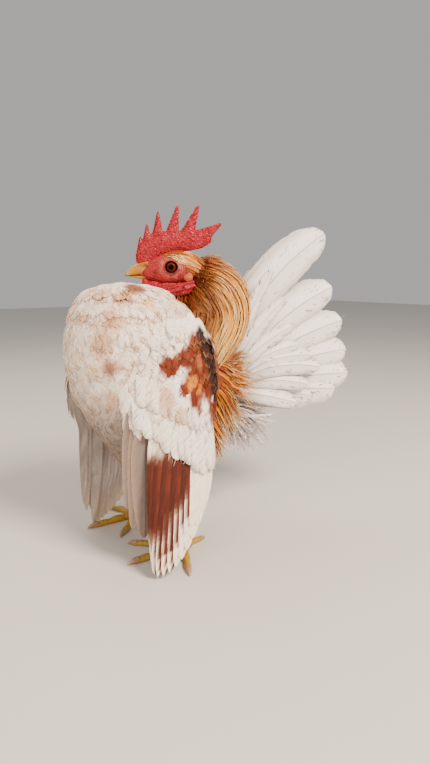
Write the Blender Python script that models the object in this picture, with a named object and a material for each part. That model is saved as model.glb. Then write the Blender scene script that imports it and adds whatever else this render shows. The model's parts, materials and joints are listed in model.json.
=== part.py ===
"""A serama cock as a still, life-size model.

Lengths are in millimetres until a mesh is made, which is in metres with +Z up. The bird faces -Y and its
left side is +X. Points are written from the middle of its stance, which stands at STANCE, so that the box
round the whole bird is centred on the origin and its soles are at height 0.
"""

import math

import bmesh
import bpy
from mathutils import Matrix, Vector

MM = 0.001
GAP = 0.3
STANCE = Vector((0.0, -50.85, 0.0))
LEFT, RIGHT = 1, -1
SIDES = {"left": LEFT, "right": RIGHT}
UP = Vector((0, 0, 1))

# Breast and back, each level section by height, middle y, half width, and reach to the front and back.
TORSO_FOOT = Vector((0, 2, 40))
TORSO_TOP = Vector((0, -20, 188))
TORSO_SECTIONS = (
    (43, 0, 10, 11, 14),
    (52, -1, 21, 21, 27),
    (66, -3, 30, 29, 39),
    (85, -6, 37, 38, 50),
    (106, -9, 40.5, 46, 57),
    (128, -11, 41, 50, 58),
    (148, -13, 40.5, 48.5, 54),
    (166, -16, 36, 40, 46),
    (178, -19, 27, 29, 34),
    (185, -20, 15, 16, 19),
)
TORSO_COLUMNS = 24
SADDLE_LOCKS = (
    # angle from the back, height of the root, and the tip
    (14, 123, (21, 82, 137)),
    (22, 122, (27, 84, 124)),
    (30, 121, (30, 82, 110)),
    (38, 119, (29, 73, 95)),
    (46, 116, (28, 64, 80)),
    (54, 108, (29, 55, 67)),
    (62, 100, (33, 45, 58)),
)
SADDLE_HALF_WIDTH = 6.4
SADDLE_FACE = (0.6, 0.3)
SADDLE_SINK, SADDLE_RISE = -4.0, 7.0

# Neck, drawn back behind the breast in an S: centre, half width and half depth.
NECK_STATIONS = (
    (Vector((2, 20, 122)), 20, 22),
    (Vector((7, 36, 144)), 22, 25),
    (Vector((12, 47, 162)), 20, 26),
    (Vector((13, 46, 178)), 17, 24),
    (Vector((10.5, 41, 190)), 12, 16),
    (Vector((8, 33, 198)), 8, 9),
)
NECK_COLUMNS = 16
HACKLE_ROWS = (
    # count, where the row starts and ends from the head at 0 to the neck's root at 1, spread, half width
    (6, 0.10, 0.38, 96, 4.2),
    (7, 0.25, 0.55, 104, 5.0),
    (7, 0.40, 0.72, 106, 5.8),
    (7, 0.55, 0.90, 106, 6.2),
)
HACKLE_SINK, HACKLE_LIFT = -2.8, 3.9

# The head looks towards the bird's right. Forward, left and up from HEAD are its own axes.
HEAD = Vector((0, 19.3, 196))
HEAD_TURN = math.radians(-35)
SKULL_STATIONS = (
    # forward, up, half width, half height
    (-18.5, -1, 4, 5),
    (-15, 0, 8, 9),
    (-8, 0.2, 11, 11.6),
    (0, -0.5, 11.6, 12),
    (8, -1.5, 10, 10.4),
    (14, -2.2, 7.6, 8.2),
    (19, -2.8, 5.2, 6),
    (22, -3, 3.2, 3.8),
)
SKULL_COLUMNS = 16
EYE_AT = (0.0, 8.4, 0.0)
EYE_RADIUS = 4.3
LID_RADIUS, LID_TUBE, LID_PROUD, LID_STEPS = 5.0, 1.15, 2.0, 14
NOSTRIL_AT, NOSTRIL_RADIUS = (20.0, 4.3, 1.4), 0.9
UPPER_BEAK = (
    # forward, bottom, top, half width
    (14.5, -4.4, 4.6, 5.4),
    (19.5, -4.7, 4.2, 4.8),
    (25, -4.9, 2.5, 3.4),
    (29.5, -5.0, -0.2, 2.1),
    (32.4, -5.6, -2.9, 1.0),
)
UPPER_BEAK_TIP = (33.8, 0, -6.0)
BEAK_COLUMNS = 10
LOWER_BEAK = (
    (13, -9.2, -5.3, 4.2),
    (20, -8.5, -5.3, 3.4),
    (26, -7.5, -5.4, 2.2),
    (29.5, -6.7, -5.6, 1.0),
)
LOWER_BEAK_TIP = (31, 0, -6.1)

# Single comb in the head's own axes: a blade, and a spike from its top edge to each point.
COMB_BLADE = (
    # forward, bottom, top, half thickness
    (25.4, 3.6, 10.0, 1.2),
    (23.0, 1.6, 16.0, 2.0),
    (17.5, 0.0, 21.5, 2.4),
    (8.0, 7.0, 24.5, 2.6),
    (-4.0, 11.0, 25.0, 2.4),
    (-14.5, 12.0, 25.5, 2.2),
    (-22.0, 14.0, 26.5, 1.9),
    (-27.5, 17.5, 27.5, 1.5),
)
COMB_SPIKES = (
    # root forward, root up, tip forward, tip up, half breadth
    (22.0, 14.0, 22.3, 21.3, 2.4),
    (17.6, 18.0, 17.5, 29.6, 3.2),
    (10.2, 19.0, 9.6, 38.2, 4.6),
    (0.5, 20.0, -4.2, 42.4, 5.6),
    (-9.5, 20.0, -18.7, 42.4, 5.8),
    (-20.0, 20.5, -34.6, 30.1, 6.0),
)
WATTLE_PATH = ((21, 4.0, -10.0), (12, 6.6, -13.0), (2, 8.2, -15.0), (-8, 9.0, -14.5), (-16, 8.6, -11.0))
WATTLE_SIZES = ((1.6, 2.2), (2.2, 3.4), (2.4, 4.2), (2.4, 4.6), (1.6, 3.0))
LOBE_AT, LOBE_RADII = (-12.5, 9.6, -7.0), (4.4, 2.6, 4.6)

# Wings, hung almost upright. The sheet they lie on leaves the body by base + slope * fall + bend * fall^2,
# where fall is the distance below WING_HEIGHT, and follows the breast's roundness along y.
WING_HEIGHT = 112
WING_SHEETS = {LEFT: (44.0, 0.15, 0.00035), RIGHT: (47.0, 0.09, -0.00155)}
WING_PULL = {LEFT: 0.0, RIGHT: -11.0}
PULL_HEIGHT, PULL_REACH = 75.0, 35.0
WING_ROUND, WING_ROUND_REACH = 4.0, 30.0
LAY_SLOPE, LAY_ZERO = 0.19, -20.0
ARM_SECTIONS = (
    # height, middle y, half length, half thickness
    (166, 2, 8, 1.6),
    (160, 1, 17, 3.4),
    (150, -1, 25, 5.0),
    (138, -4, 29, 6.0),
    (122, -7, 31, 6.2),
    (104, -9, 29, 6.0),
    (92, -8, 26, 4.6),
    (86, -7, 20, 2.4),
)
ARM_COLUMNS = 18
ARM_INNER = {LEFT: 3.0, RIGHT: 9.0}
BED_ENDS = (Vector((-39, 106)), Vector((14, 92)))
BED_HALF_THICK, BED_HALF_HIGH = 1.4, 2.6
POCKET_SHARES = (-0.14, 0.0, 0.25, 0.5, 0.75, 1.0, 1.14)
POCKET_INNER, POCKET_OUTER, POCKET_FOOT = -5.2, 2.3, 78.0
PRIMARIES = 3
PRIMARY_FLARE = 0.35
FLIGHT_TIPS = (
    # y and height of each flight feather's tip, from the front of the wing to the back
    (-40, 42), (-37, 26), (-31, 22),
    (-32, 19), (-33, 10), (-33, 4), (-28, 3), (-21, 7), (-14, 14), (-6, 25), (2, 39),
)
FLIGHT_TIP_LIFT = {LEFT: 1.0, RIGHT: 0.45}
LOWEST_TIP = 2.5
FLIGHT_BOW = 6.0
FLIGHT_HALF_WIDTH = 6.0
COVERT_ROWS = (
    # count, root ends, tip ends, bow at the row's middle, lift, half width
    (7, ((-32, 118), (13, 108)), ((-31, 95), (11, 61)), -4.0, 3.8, 6.2),
    (5, ((-28, 134), (11, 128)), ((-29, 110), (13, 92)), -3.0, 5.8, 8.2),
)

# Tail, swung a little to the bird's left. Each feather is given by the elevation and distance of its tip
# from the root, and by how much steeper it sets out than its tip lies.
TAIL_ROOT = Vector((5, 60, 104))
TAIL_SWING = math.radians(15)
RECTRICES = (
    # tip elevation, tip distance, rise and half width, all angles in degrees
    (54.5, 141, 27, 16),
    (41, 118, 18, 13),
    (27.5, 111, 12, 13),
    (15.5, 106, 8, 13),
    (5, 104, 4, 13),
    (-2, 92, 1, 13),
    (-6, 72, 0, 13),
)
RECTRIX_LAYER = 0.95
RECTRIX_SPLAY = (math.radians(-1.0), math.radians(7.5))
TAIL_COVERTS = (
    # tip elevation, tip distance, rise, half width
    (71, 96, 9, 9), (31, 64, 24, 10), (12, 77, 26, 11), (-38, 65, -4, 10), (-60, 48, -8, 9),
)
COVERT_LAYER, COVERT_SPLAY = 8.4, math.radians(6)
TAIL_BLOCK = (
    # distance along the tail, height above its root, half width, half height
    (-20, 0, 9, 14), (-8, 0, 10.5, 17), (4, 0.5, 9.5, 16), (14, 1, 6, 10), (19, 1, 2.5, 5),
)

# Legs and feet. Toe directions are in degrees from straight ahead, outward positive.
HOCK = Vector((31, 13, 42))
ANKLE = Vector((34, 5, 9))
SHANK_RINGS = 6
THIGH_STATIONS = (
    # centre and radius
    (Vector((22, -2, 70)), 17),
    (Vector((26, 3, 56)), 13),
    (Vector((30, 10, 46)), 8),
    (Vector((31, 13, 40)), 5.6),
)
PAD_RADII = Vector((7.0, 7.5, 6.0))
TOES = {
    # direction, length with its claw, claw length, radius
    "middle": (0, 44, 7.5, 3.1),
    "outer": (64, 40, 6.5, 2.8),
    "inner": (-43, 41, 6.5, 2.8),
    "hind": (191, 22, 6.0, 2.5),
}
TOE_COLUMNS = 6
SPUR_AT, SPUR_LENGTH = 0.55, 9.0

MATERIALS = {
    # name: colour, roughness
    "body_white": ((0.86, 0.79, 0.72), 0.75),
    "hackle_gold": ((0.68, 0.38, 0.13), 0.6),
    "wing_white": ((0.85, 0.80, 0.75), 0.7),
    "flight_rust": ((0.50, 0.24, 0.13), 0.65),
    "tail_white": ((0.88, 0.87, 0.86), 0.65),
    "face_red": ((0.74, 0.13, 0.16), 0.5),
    "lobe_tan": ((0.80, 0.52, 0.38), 0.55),
    "beak_horn": ((0.86, 0.58, 0.16), 0.4),
    "eye_brown": ((0.10, 0.04, 0.02), 0.06),
    "leg_yellow": ((0.78, 0.64, 0.28), 0.55),
    "claw_horn": ((0.70, 0.58, 0.46), 0.4),
}

FLIGHT_SHAPE = ((0, 0.3), (0.3, 0.85), (0.65, 1), (0.92, 0.7), (1, 0.24))
RECTRIX_SHAPE = ((0, 0.2), (0.22, 0.66), (0.5, 1), (0.84, 1), (0.96, 0.72), (1, 0.34))
SICKLE_SHAPE = ((0, 0.35), (0.4, 0.95), (0.85, 0.9), (1, 0.28))
COVERT_SHAPE = ((0, 0.6), (0.45, 1), (0.88, 0.8), (1, 0.3))
LOCK_SHAPE = ((0, 0.7), (0.4, 1), (0.78, 0.74), (1, 0.14))
QUILL_START = 7.0
VANE_TILT = 0.12
VANE_THICK, SHAFT_PROUD, VANE_CAMBER = 0.6, 0.15, 0.06
LOCK_THICK = 0.85
SHARP_ANGLE = math.radians(38)
SLIVER = 0.01


def clear_scene():
    for item in list(bpy.data.objects):
        bpy.data.objects.remove(item)


def blend(a, b, t):
    return a + (b - a) * t


def smooth(t):
    t = min(max(t, 0.0), 1.0)
    return t * t * (3 - 2 * t)


def mesh_object(name, points, faces):
    """A mesh object from points in millimetres, its faces turned outward."""
    mesh = bpy.data.meshes.new(name)
    mesh.from_pydata([(point + STANCE) * MM for point in points], [], faces)
    body = bmesh.new()
    body.from_mesh(mesh)
    bmesh.ops.recalc_face_normals(body, faces=body.faces)
    body.to_mesh(mesh)
    body.free()
    item = bpy.data.objects.new(name, mesh)
    bpy.context.scene.collection.objects.link(item)
    return item


def loft(name, rings, start=None, end=None):
    """A closed body through rings of equal counts, its ends fanned to a point or to their own middles."""
    count = len(rings[0])
    points = [point for ring in rings for point in ring]
    faces = []
    for row in range(len(rings) - 1):
        for column in range(count):
            here, beside = row * count + column, row * count + (column + 1) % count
            faces.append((here, beside, beside + count, here + count))
    for ring, tip, first in ((rings[0], start, 0), (rings[-1], end, (len(rings) - 1) * count)):
        points.append(tip or sum(ring, Vector()) / count)
        for column in range(count):
            faces.append((first + column, first + (column + 1) % count, len(points) - 1))
    return mesh_object(name, points, faces)


def ellipse(centre, across, along, half_across, half_along, count):
    """Points round an ellipse whose half axes lie along two unit vectors."""
    ring = []
    for step in range(count):
        angle = 2 * math.pi * step / count
        sideways, upward = half_across * math.sin(angle), half_along * math.cos(angle)
        ring.append(centre + across * sideways + along * upward)
    return ring


def path_frames(path, side):
    """The two unit vectors square to a path at each of its points, the first as near to side as it can be."""
    frames = []
    for index, _ in enumerate(path):
        tangent = (path[min(index + 1, len(path) - 1)] - path[max(index - 1, 0)]).normalized()
        across = (side - tangent * side.dot(tangent)).normalized()
        frames.append((across, across.cross(tangent)))
    return frames


def tube(name, path, sizes, count, side=Vector((1, 0, 0)), start=None, end=None):
    """A body of elliptical sections along a path, sizes being (half width, half depth) at each point."""
    rings = [
        ellipse(point, across, along, wide, deep, count)
        for point, (across, along), (wide, deep) in zip(path, path_frames(path, side), sizes)
    ]
    return loft(name, rings, start, end)


def ball(name, centre, radii, turn=Matrix.Identity(3), columns=12, rows=8):
    """An ellipsoid with half axes radii, turned by a matrix."""
    body = bmesh.new()
    bmesh.ops.create_uvsphere(body, u_segments=columns, v_segments=rows, radius=1)
    placed = Matrix.Translation(centre) @ turn.to_4x4() @ Matrix.Diagonal((*radii, 1))
    points = [placed @ corner.co for corner in body.verts]
    faces = [[corner.index for corner in face.verts] for face in body.faces]
    body.free()
    return mesh_object(name, points, faces)


def blade(name, path, across, half_width, shape, grow=0.0):
    """A feather's vane: a thin plate with a raised shaft line and bent-down edges.

    path and across are functions of the distance along the feather from 0 to 1, and shape holds pairs of
    that distance and the part of half_width there.
    """
    rings = []
    for t, part in shape:
        side, face = square_frame(path, across, t)
        half = half_width * part + grow
        edge = face * (grow - VANE_CAMBER * half)
        middle = path(t)
        shaft = middle + face * (SHAFT_PROUD + grow)
        ring = [middle - side * half + edge, shaft, middle + side * half + edge]
        rings.append(ring + [point - face * (VANE_THICK + 2 * grow) for point in reversed(ring)])
    return plate(name, rings)


def square_frame(path, across, t):
    """The directions across a feather and out of its face, square to its path at t."""
    tangent = (path(min(t + 0.02, 1)) - path(max(t - 0.02, 0))).normalized()
    side = across(t)
    side = (side - tangent * side.dot(tangent)).normalized()
    return side, side.cross(tangent)


def plate(name, rings):
    """A closed plate through rings of six, both faces split into triangles alike."""
    points = [point for ring in rings for point in ring]
    faces = []
    for row in range(len(rings) - 1):
        for column in range(6):
            here, beside = row * 6 + column, row * 6 + (column + 1) % 6
            if column < 3:
                faces += [(here, beside, beside + 6), (here, beside + 6, here + 6)]
            else:
                faces += [(here, beside, here + 6), (beside, beside + 6, here + 6)]
    for first in (0, (len(rings) - 1) * 6):
        faces += [(first, first + 1, first + 4, first + 5), (first + 1, first + 2, first + 3, first + 4)]
    return mesh_object(name, points, faces)


def lock(name, path, across, half_width, grow=0.0):
    """A tapered tuft of long feathers, flat in section, that ends almost in a point."""
    rings = []
    for t, part in LOCK_SHAPE:
        side, face = square_frame(path, across, t)
        middle = path(t) + face.cross(side) * (grow * (int(t == 1) - int(t == 0)))
        half, deep = half_width * part + grow, LOCK_THICK * (0.5 + 0.5 * part) + grow
        rings.append([middle - side * half, middle + face * deep, middle + side * half, middle - face * deep])
    return loft(name, rings)


def arc(start, bend, end):
    """The quadratic curve from start to end pulled towards bend, as a function of 0 to 1."""
    return lambda t: start * (1 - t) ** 2 + bend * (2 * t * (1 - t)) + end * t * t


def combine(item, operation, others, keep=False):
    """Joins others to a body, or cuts them from it, and keeps the largest closed surface."""
    bits = bpy.data.collections.new("bits")
    bpy.context.scene.collection.children.link(bits)
    for other in others:
        bits.objects.link(other)
    boolean = item.modifiers.new("bits", "BOOLEAN")
    boolean.operation = operation
    boolean.operand_type = "COLLECTION"
    boolean.collection = bits
    boolean.solver = "MANIFOLD"
    graph = bpy.context.evaluated_depsgraph_get()
    mesh = bpy.data.meshes.new_from_object(item.evaluated_get(graph))
    item.modifiers.clear()
    item.data = mesh
    bpy.data.collections.remove(bits)
    if not keep:
        remove(others)
    keep_largest(mesh)
    return item


def keep_largest(mesh):
    """Welds the slivers that a Boolean leaves, and drops every closed surface but the largest."""
    body = bmesh.new()
    body.from_mesh(mesh)
    bmesh.ops.remove_doubles(body, verts=body.verts, dist=SLIVER * MM)
    bmesh.ops.triangulate(body, faces=body.faces)
    waiting, islands = set(body.faces), []
    while waiting:
        island, front = set(), [waiting.pop()]
        while front:
            face = front.pop()
            island.add(face)
            shared = [edge for edge in face.edges if len(edge.link_faces) == 2]
            for other in {other for edge in shared for other in edge.link_faces} & waiting:
                waiting.discard(other)
                front.append(other)
        islands.append(island)
    largest = max(islands, key=island_volume)
    bmesh.ops.delete(body, geom=[face for face in body.faces if face not in largest], context="FACES")
    body.to_mesh(mesh)
    body.free()


def island_volume(faces):
    volume = 0.0
    for face in faces:
        first = face.verts[0].co
        for second, third in zip(face.verts[1:], face.verts[2:]):
            volume += first.dot(second.co.cross(third.co)) / 6
    return volume


def remove(items):
    for item in items:
        bpy.data.objects.remove(item)


def joined(item, others):
    return combine(item, "UNION", others)


def cut(item, others):
    return combine(item, "DIFFERENCE", others)


def trimmed(items, cutters):
    """Each item cut clear of all the cutters, which are then removed."""
    for item in items:
        combine(item, "DIFFERENCE", cutters, keep=True)
    remove(cutters)
    return items


def torso_ring(section, grow):
    height, middle, half, front, back = section
    ring = []
    for step in range(TORSO_COLUMNS):
        angle = 2 * math.pi * step / TORSO_COLUMNS
        reach = (back if math.cos(angle) > 0 else front) + grow
        ring.append(Vector(((half + grow) * math.sin(angle), middle + reach * math.cos(angle), height)))
    return ring


def torso_core(grow=0.0):
    rings = [torso_ring(section, grow) for section in TORSO_SECTIONS]
    return loft("torso", rings, TORSO_FOOT - UP * grow, TORSO_TOP + UP * grow)


def torso_point(angle, height, out):
    """A point off the torso's surface, its angle counted in degrees from the back towards the left."""
    index = max(i for i, section in enumerate(TORSO_SECTIONS[:-1]) if section[0] <= height or i == 0)
    low, high = TORSO_SECTIONS[index], TORSO_SECTIONS[index + 1]
    share = (height - low[0]) / (high[0] - low[0])
    _, middle, half, front, back = (blend(a, b, share) for a, b in zip(low, high))
    turn = math.radians(angle)
    reach = (back if math.cos(turn) > 0 else front) + out
    return Vector(((half + out) * math.sin(turn), middle + reach * math.cos(turn), height))


def saddle_locks(grow=0.0):
    """Long narrow feathers from the lower back, over the tail's root and down behind the wings."""
    locks = []
    for side in (LEFT, RIGHT):
        for angle, height, end in SADDLE_LOCKS:
            start = torso_point(angle * side, height, SADDLE_SINK)
            tip = sided(end, side)
            bend = torso_point(angle * side, height - 4, SADDLE_RISE)
            bend = blend(bend, blend(start, tip, 0.5) + Vector((0, 3, 5)), 0.5)
            path = arc(start, bend, tip)
            out = Vector((side, *SADDLE_FACE))

            def across(t, path=path, out=out):
                return (path(min(t + 0.05, 1)) - path(max(t - 0.05, 0))).cross(out)

            locks.append(lock("lock", path, across, SADDLE_HALF_WIDTH, grow))
    return locks


def torso(name):
    item = torso_core()
    item.name = name
    near = [tail_block("near", GAP), *tail_feathers(GAP), neck_core(GAP)]
    return joined(item, trimmed(saddle_locks(), near))


def neck_core(grow=0.0):
    path = [station[0] for station in NECK_STATIONS]
    sizes = [(wide + grow, deep + grow) for _, wide, deep in NECK_STATIONS]
    return tube("neck", path, sizes, NECK_COLUMNS)


def neck_section(share):
    """Centre, half width and half depth of the neck, from the head at 0 to its root at 1."""
    place = (1 - share) * (len(NECK_STATIONS) - 1)
    index = min(max(int(place), 0), len(NECK_STATIONS) - 2)
    low, high = NECK_STATIONS[index], NECK_STATIONS[index + 1]
    return tuple(blend(a, b, place - index) for a, b in zip(low, high))


def neck_point(angle, share, out):
    """A point off the neck's surface, its angle counted in degrees from the back towards the left."""
    centre, wide, deep = neck_section(share)
    tangent = (neck_section(share - 0.08)[0] - neck_section(share + 0.08)[0]).normalized()
    side = Vector((1, 0, 0))
    across = (side - tangent * side.dot(tangent)).normalized()
    back = tangent.cross(across)
    turn = math.radians(angle)
    return centre + across * ((wide + out) * math.sin(turn)) + back * ((deep + out) * math.cos(turn))


def hackle_locks():
    """Rows of long neck feathers from the nape down over the bend of the neck."""
    locks = []
    for count, first, last, spread, half in HACKLE_ROWS:
        for index in range(count):
            angle = spread * (2 * (index + 0.5) / count - 1)

            def path(t, angle=angle, first=first, last=last):
                lift = blend(HACKLE_SINK, HACKLE_LIFT, 1 - (1 - t) ** 2)
                return neck_point(angle * (1 - 0.12 * t), blend(first, last, t), lift)

            def across(t, path=path, angle=angle, first=first, last=last):
                share = blend(first, last, t)
                return neck_point(angle + 4, share, 0) - neck_point(angle - 4, share, 0)

            locks.append(lock("lock", path, across, half))
    return locks


def neck(name):
    near = [wing_arm("near", side, GAP) for side in (LEFT, RIGHT)]
    near += [tail_block("near", GAP), *tail_feathers(GAP), *saddle_locks(GAP), comb_blade(GAP)]
    item = joined(neck_core(), trimmed(hackle_locks(), near))
    item.name = name
    return cut(item, [torso_core(GAP), skull(GAP)])


def head_point(forward, left, up):
    """A point in the head's own axes."""
    return HEAD + Matrix.Rotation(HEAD_TURN, 3, "Z") @ Vector((left, -forward, up))


def head_way(forward, left, up):
    return head_point(forward, left, up) - HEAD


def skull(grow=0.0):
    rings = []
    for forward, up, wide, high in SKULL_STATIONS:
        centre = head_point(forward, 0, up)
        rings.append(ellipse(centre, head_way(0, 1, 0), UP, wide + grow, high + grow, SKULL_COLUMNS))
    ends = (SKULL_STATIONS[0], -1.0), (SKULL_STATIONS[-1], 1.0)
    tips = [head_point(station[0] + sign * (1 + grow), 0, station[1]) for station, sign in ends]
    return loft("head", rings, *tips)


def eye_centre(side):
    return head_point(EYE_AT[0], EYE_AT[1] * side, EYE_AT[2])


def eye(name, side, grow=0.0):
    radius = EYE_RADIUS + grow
    return ball(name, eye_centre(side), (radius, radius, radius), columns=12, rows=8)


def lid(side):
    """The ring of bare skin round an eye."""
    out = head_way(0, side, 0)
    middle = (eye_centre(side) + out * LID_PROUD + STANCE) * MM
    bpy.ops.mesh.primitive_torus_add(
        major_segments=LID_STEPS,
        minor_segments=5,
        major_radius=LID_RADIUS * MM,
        minor_radius=LID_TUBE * MM,
    )
    item = bpy.context.object
    item.data.transform(Matrix.Translation(middle) @ out.to_track_quat("Z", "Y").to_matrix().to_4x4())
    return item


def head(name):
    item = joined(skull(), [lid(LEFT), lid(RIGHT)])
    return cut(item, [eye("socket", side, GAP) for side in (LEFT, RIGHT)])


def beak_half(name, stations, tip, grow=0.0):
    rings = []
    for forward, bottom, top, wide in stations:
        centre = head_point(forward, 0, (bottom + top) / 2)
        high = (top - bottom) / 2 + grow
        rings.append(ellipse(centre, head_way(0, 1, 0), UP, wide + grow, high, BEAK_COLUMNS))
    return loft(name, rings, None, head_point(*tip))


def upper_beak(name):
    forward, left, up = NOSTRIL_AT
    nostrils = [
        ball("nostril", head_point(forward, left * side, up), (NOSTRIL_RADIUS,) * 3, columns=6, rows=4)
        for side in (LEFT, RIGHT)
    ]
    return cut(beak_half(name, UPPER_BEAK, UPPER_BEAK_TIP), [skull(GAP), *nostrils])


def lower_beak(name):
    return cut(beak_half(name, LOWER_BEAK, LOWER_BEAK_TIP), [skull(GAP)])


def comb_blade(grow=0.0):
    rings = []
    for forward, bottom, top, thick in COMB_BLADE:
        centre = head_point(forward, 0, (bottom + top) / 2)
        rings.append(ellipse(centre, head_way(0, 1, 0), UP, thick + grow, (top - bottom) / 2 + grow, 10))
    return loft("comb", rings)


def comb(name):
    item = joined(comb_blade(), [comb_spike(*spike) for spike in COMB_SPIKES])
    item.name = name
    return cut(item, [skull(GAP), beak_half("near", UPPER_BEAK, UPPER_BEAK_TIP, GAP)])


def comb_spike(root_forward, root_up, tip_forward, tip_up, breadth):
    root, tip = head_point(root_forward, 0, root_up), head_point(tip_forward, 0, tip_up)
    path = [blend(root, tip, t) for t in (0, 0.5, 0.92)]
    sizes = [(2.2, breadth), (1.5, breadth * 0.52), (0.7, breadth * 0.16)]
    return tube("spike", path, sizes, 6, head_way(0, 1, 0), None, tip)


def wattle_body(name, side, grow=0.0):
    path = [head_point(forward, left * side, up) for forward, left, up in WATTLE_PATH]
    sizes = [(wide + grow, deep + grow) for wide, deep in WATTLE_SIZES]
    return tube(name, path, sizes, 10, head_way(0, 1, 0))


def wattle(name, side):
    near = [skull(GAP), torso_core(GAP), neck_core(GAP), beak_half("near", LOWER_BEAK, LOWER_BEAK_TIP, GAP)]
    return cut(wattle_body(name, side), near)


def earlobe(name, side):
    forward, left, up = LOBE_AT
    turn = Matrix.Rotation(HEAD_TURN, 3, "Z")
    depth = (LOBE_RADII[1], LOBE_RADII[0], LOBE_RADII[2])
    item = ball(name, head_point(forward, left * side, up), depth, turn, 10, 6)
    return cut(item, [skull(GAP), neck_core(GAP), wattle_body("near", side, GAP)])


def wing_x(side, y, height, flare=1.0):
    """How far a wing's sheet stands from the middle of the body."""
    base, slope, bend = WING_SHEETS[side]
    fall = WING_HEIGHT - height
    out = slope * fall + bend * fall * fall
    if fall > 0:
        out *= flare
    return base + out - WING_ROUND * ((y + 2) / WING_ROUND_REACH) ** 2


def wing_lay(y):
    """How far outward feathers rooted at y lie: each lies on the one in front of it."""
    return LAY_SLOPE * (y - LAY_ZERO)


def wing_point(side, y, height, out, flare=1.0):
    pulled = y + WING_PULL[side] * smooth((height - PULL_HEIGHT) / PULL_REACH)
    return Vector((side * (wing_x(side, y, height, flare) + out), pulled, height))


def wing_arm(name, side, grow=0.0):
    """The upper arm and shoulder under their small feathers."""
    rings = []
    for height, middle, half, thick in ARM_SECTIONS:
        ring = []
        for step in range(ARM_COLUMNS):
            angle = 2 * math.pi * step / ARM_COLUMNS
            y = middle + (half + grow) * math.cos(angle)
            deep = thick + grow if math.sin(angle) > 0 else thick + ARM_INNER[side]
            out = wing_lay(y) - 1.5 + deep * math.sin(angle)
            ring.append(wing_point(side, y, height, out))
        rings.append(ring)
    return loft(name, rings)


def bed_point(share):
    return blend(BED_ENDS[0], BED_ENDS[1], share)


def wing_bed(name, side, grow=0.0):
    """The edge of the hand and forearm that the flight feathers grow from."""
    rings = []
    for step in range(7):
        y, height = bed_point(step / 6)
        ring = []
        for turn in range(8):
            angle = 2 * math.pi * turn / 8
            out = wing_lay(y) + (BED_HALF_THICK + grow) * math.sin(angle)
            ring.append(wing_point(side, y, height + (BED_HALF_HIGH + grow) * math.cos(angle), out))
        rings.append(ring)
    return loft(name, rings)


def flight_pocket(side):
    """The room that the flight feathers and their bed take up inside the arm's small feathers."""
    rings = []
    for share in POCKET_SHARES:
        y, height = bed_point(share)
        top = height + BED_HALF_HIGH + GAP
        lay = wing_lay(y)
        corners = [(level, out) for level in (top, POCKET_FOOT) for out in (POCKET_OUTER, POCKET_INNER)]
        corners[2:] = reversed(corners[2:])
        rings.append([wing_point(side, y, level, lay + out) for level, out in corners])
    return loft("pocket", rings)


def wing_feather(name, side, root, tip, bow, out, half_width, shape, flare=1.0, grow=0.0):
    """A vane laid on the wing's sheet. out gives its distance off the sheet along its length."""
    middle = (root + tip) / 2 + Vector((bow, 0))
    line = arc(root, middle, tip)

    def path(t):
        y, height = line(t)
        return wing_point(side, y, height, out(t), flare)

    def across(t):
        ahead, behind = line(min(t + 0.05, 1)), line(max(t - 0.05, 0))
        way = (ahead - behind).normalized()
        y, height = line(t)
        beside = wing_point(side, y - way[1], height + way[0], out(t), flare)
        return (beside - path(t)).normalized() * side

    return blade(name, path, across, half_width, shape, grow)


def flight_feathers(side, grow=0.0):
    feathers = []
    last = len(FLIGHT_TIPS) - 1
    for index, tip in enumerate(FLIGHT_TIPS):
        tip = Vector((tip[0], blend(LOWEST_TIP, tip[1], FLIGHT_TIP_LIFT[side])))
        root = bed_point((index + 0.6) / (last + 1.2))
        lay = wing_lay(root[0])
        primary = index < PRIMARIES
        bow = 1.0 if primary else FLIGHT_BOW * (0.4 + 0.6 * index / last)
        flare = PRIMARY_FLARE if primary else 1.0
        half = FLIGHT_HALF_WIDTH * (0.85 if primary else 1.0)

        def level(_, lay=lay):
            return lay

        feathers.append(wing_feather("flight", side, root, tip, bow, level, half, FLIGHT_SHAPE, flare, grow))
    return feathers


def covert_feathers(side):
    feathers = []
    for count, roots, tips, bow, lift, half in COVERT_ROWS:
        for index in range(count):
            share = index / (count - 1)
            root = blend(Vector(roots[0]), Vector(roots[1]), share)
            tip = blend(Vector(tips[0]), Vector(tips[1]), share)
            tip += Vector((0, bow * 4 * share * (1 - share)))
            lay = wing_lay(root[0])

            def raised(t, lay=lay, lift=lift):
                return blend(lay - 1.0, lay + lift, smooth(t / 0.4))

            feathers.append(wing_feather("covert", side, root, tip, 1.5, raised, half, COVERT_SHAPE))
    return feathers


def wing(name, side):
    near = [torso_core(GAP), flight_pocket(side)]
    return cut(joined(wing_arm(name, side), covert_feathers(side)), near)


def wing_flight(name, side):
    near = [torso_core(GAP)] + [limb("near", side, *TOES["middle"], GAP) for limb in (toe, claw_body)]
    return cut(joined(wing_bed(name, side), flight_feathers(side)), near)


def tail_point(distance, height, aside):
    """A point by its distance along the tail's level line, its height, and its distance to the left."""
    ahead = Vector((math.sin(TAIL_SWING), math.cos(TAIL_SWING), 0))
    left = Vector((math.cos(TAIL_SWING), -math.sin(TAIL_SWING), 0))
    return TAIL_ROOT + ahead * distance + UP * height + left * aside


def tail_block(name, grow=0.0):
    rings = []
    for distance, height, wide, high in TAIL_BLOCK:
        centre = tail_point(distance, height, 0)
        left = tail_point(distance, height, 1) - centre
        rings.append(ellipse(centre, left, UP, wide + grow, high + grow, 14))
    return loft(name, rings)


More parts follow.
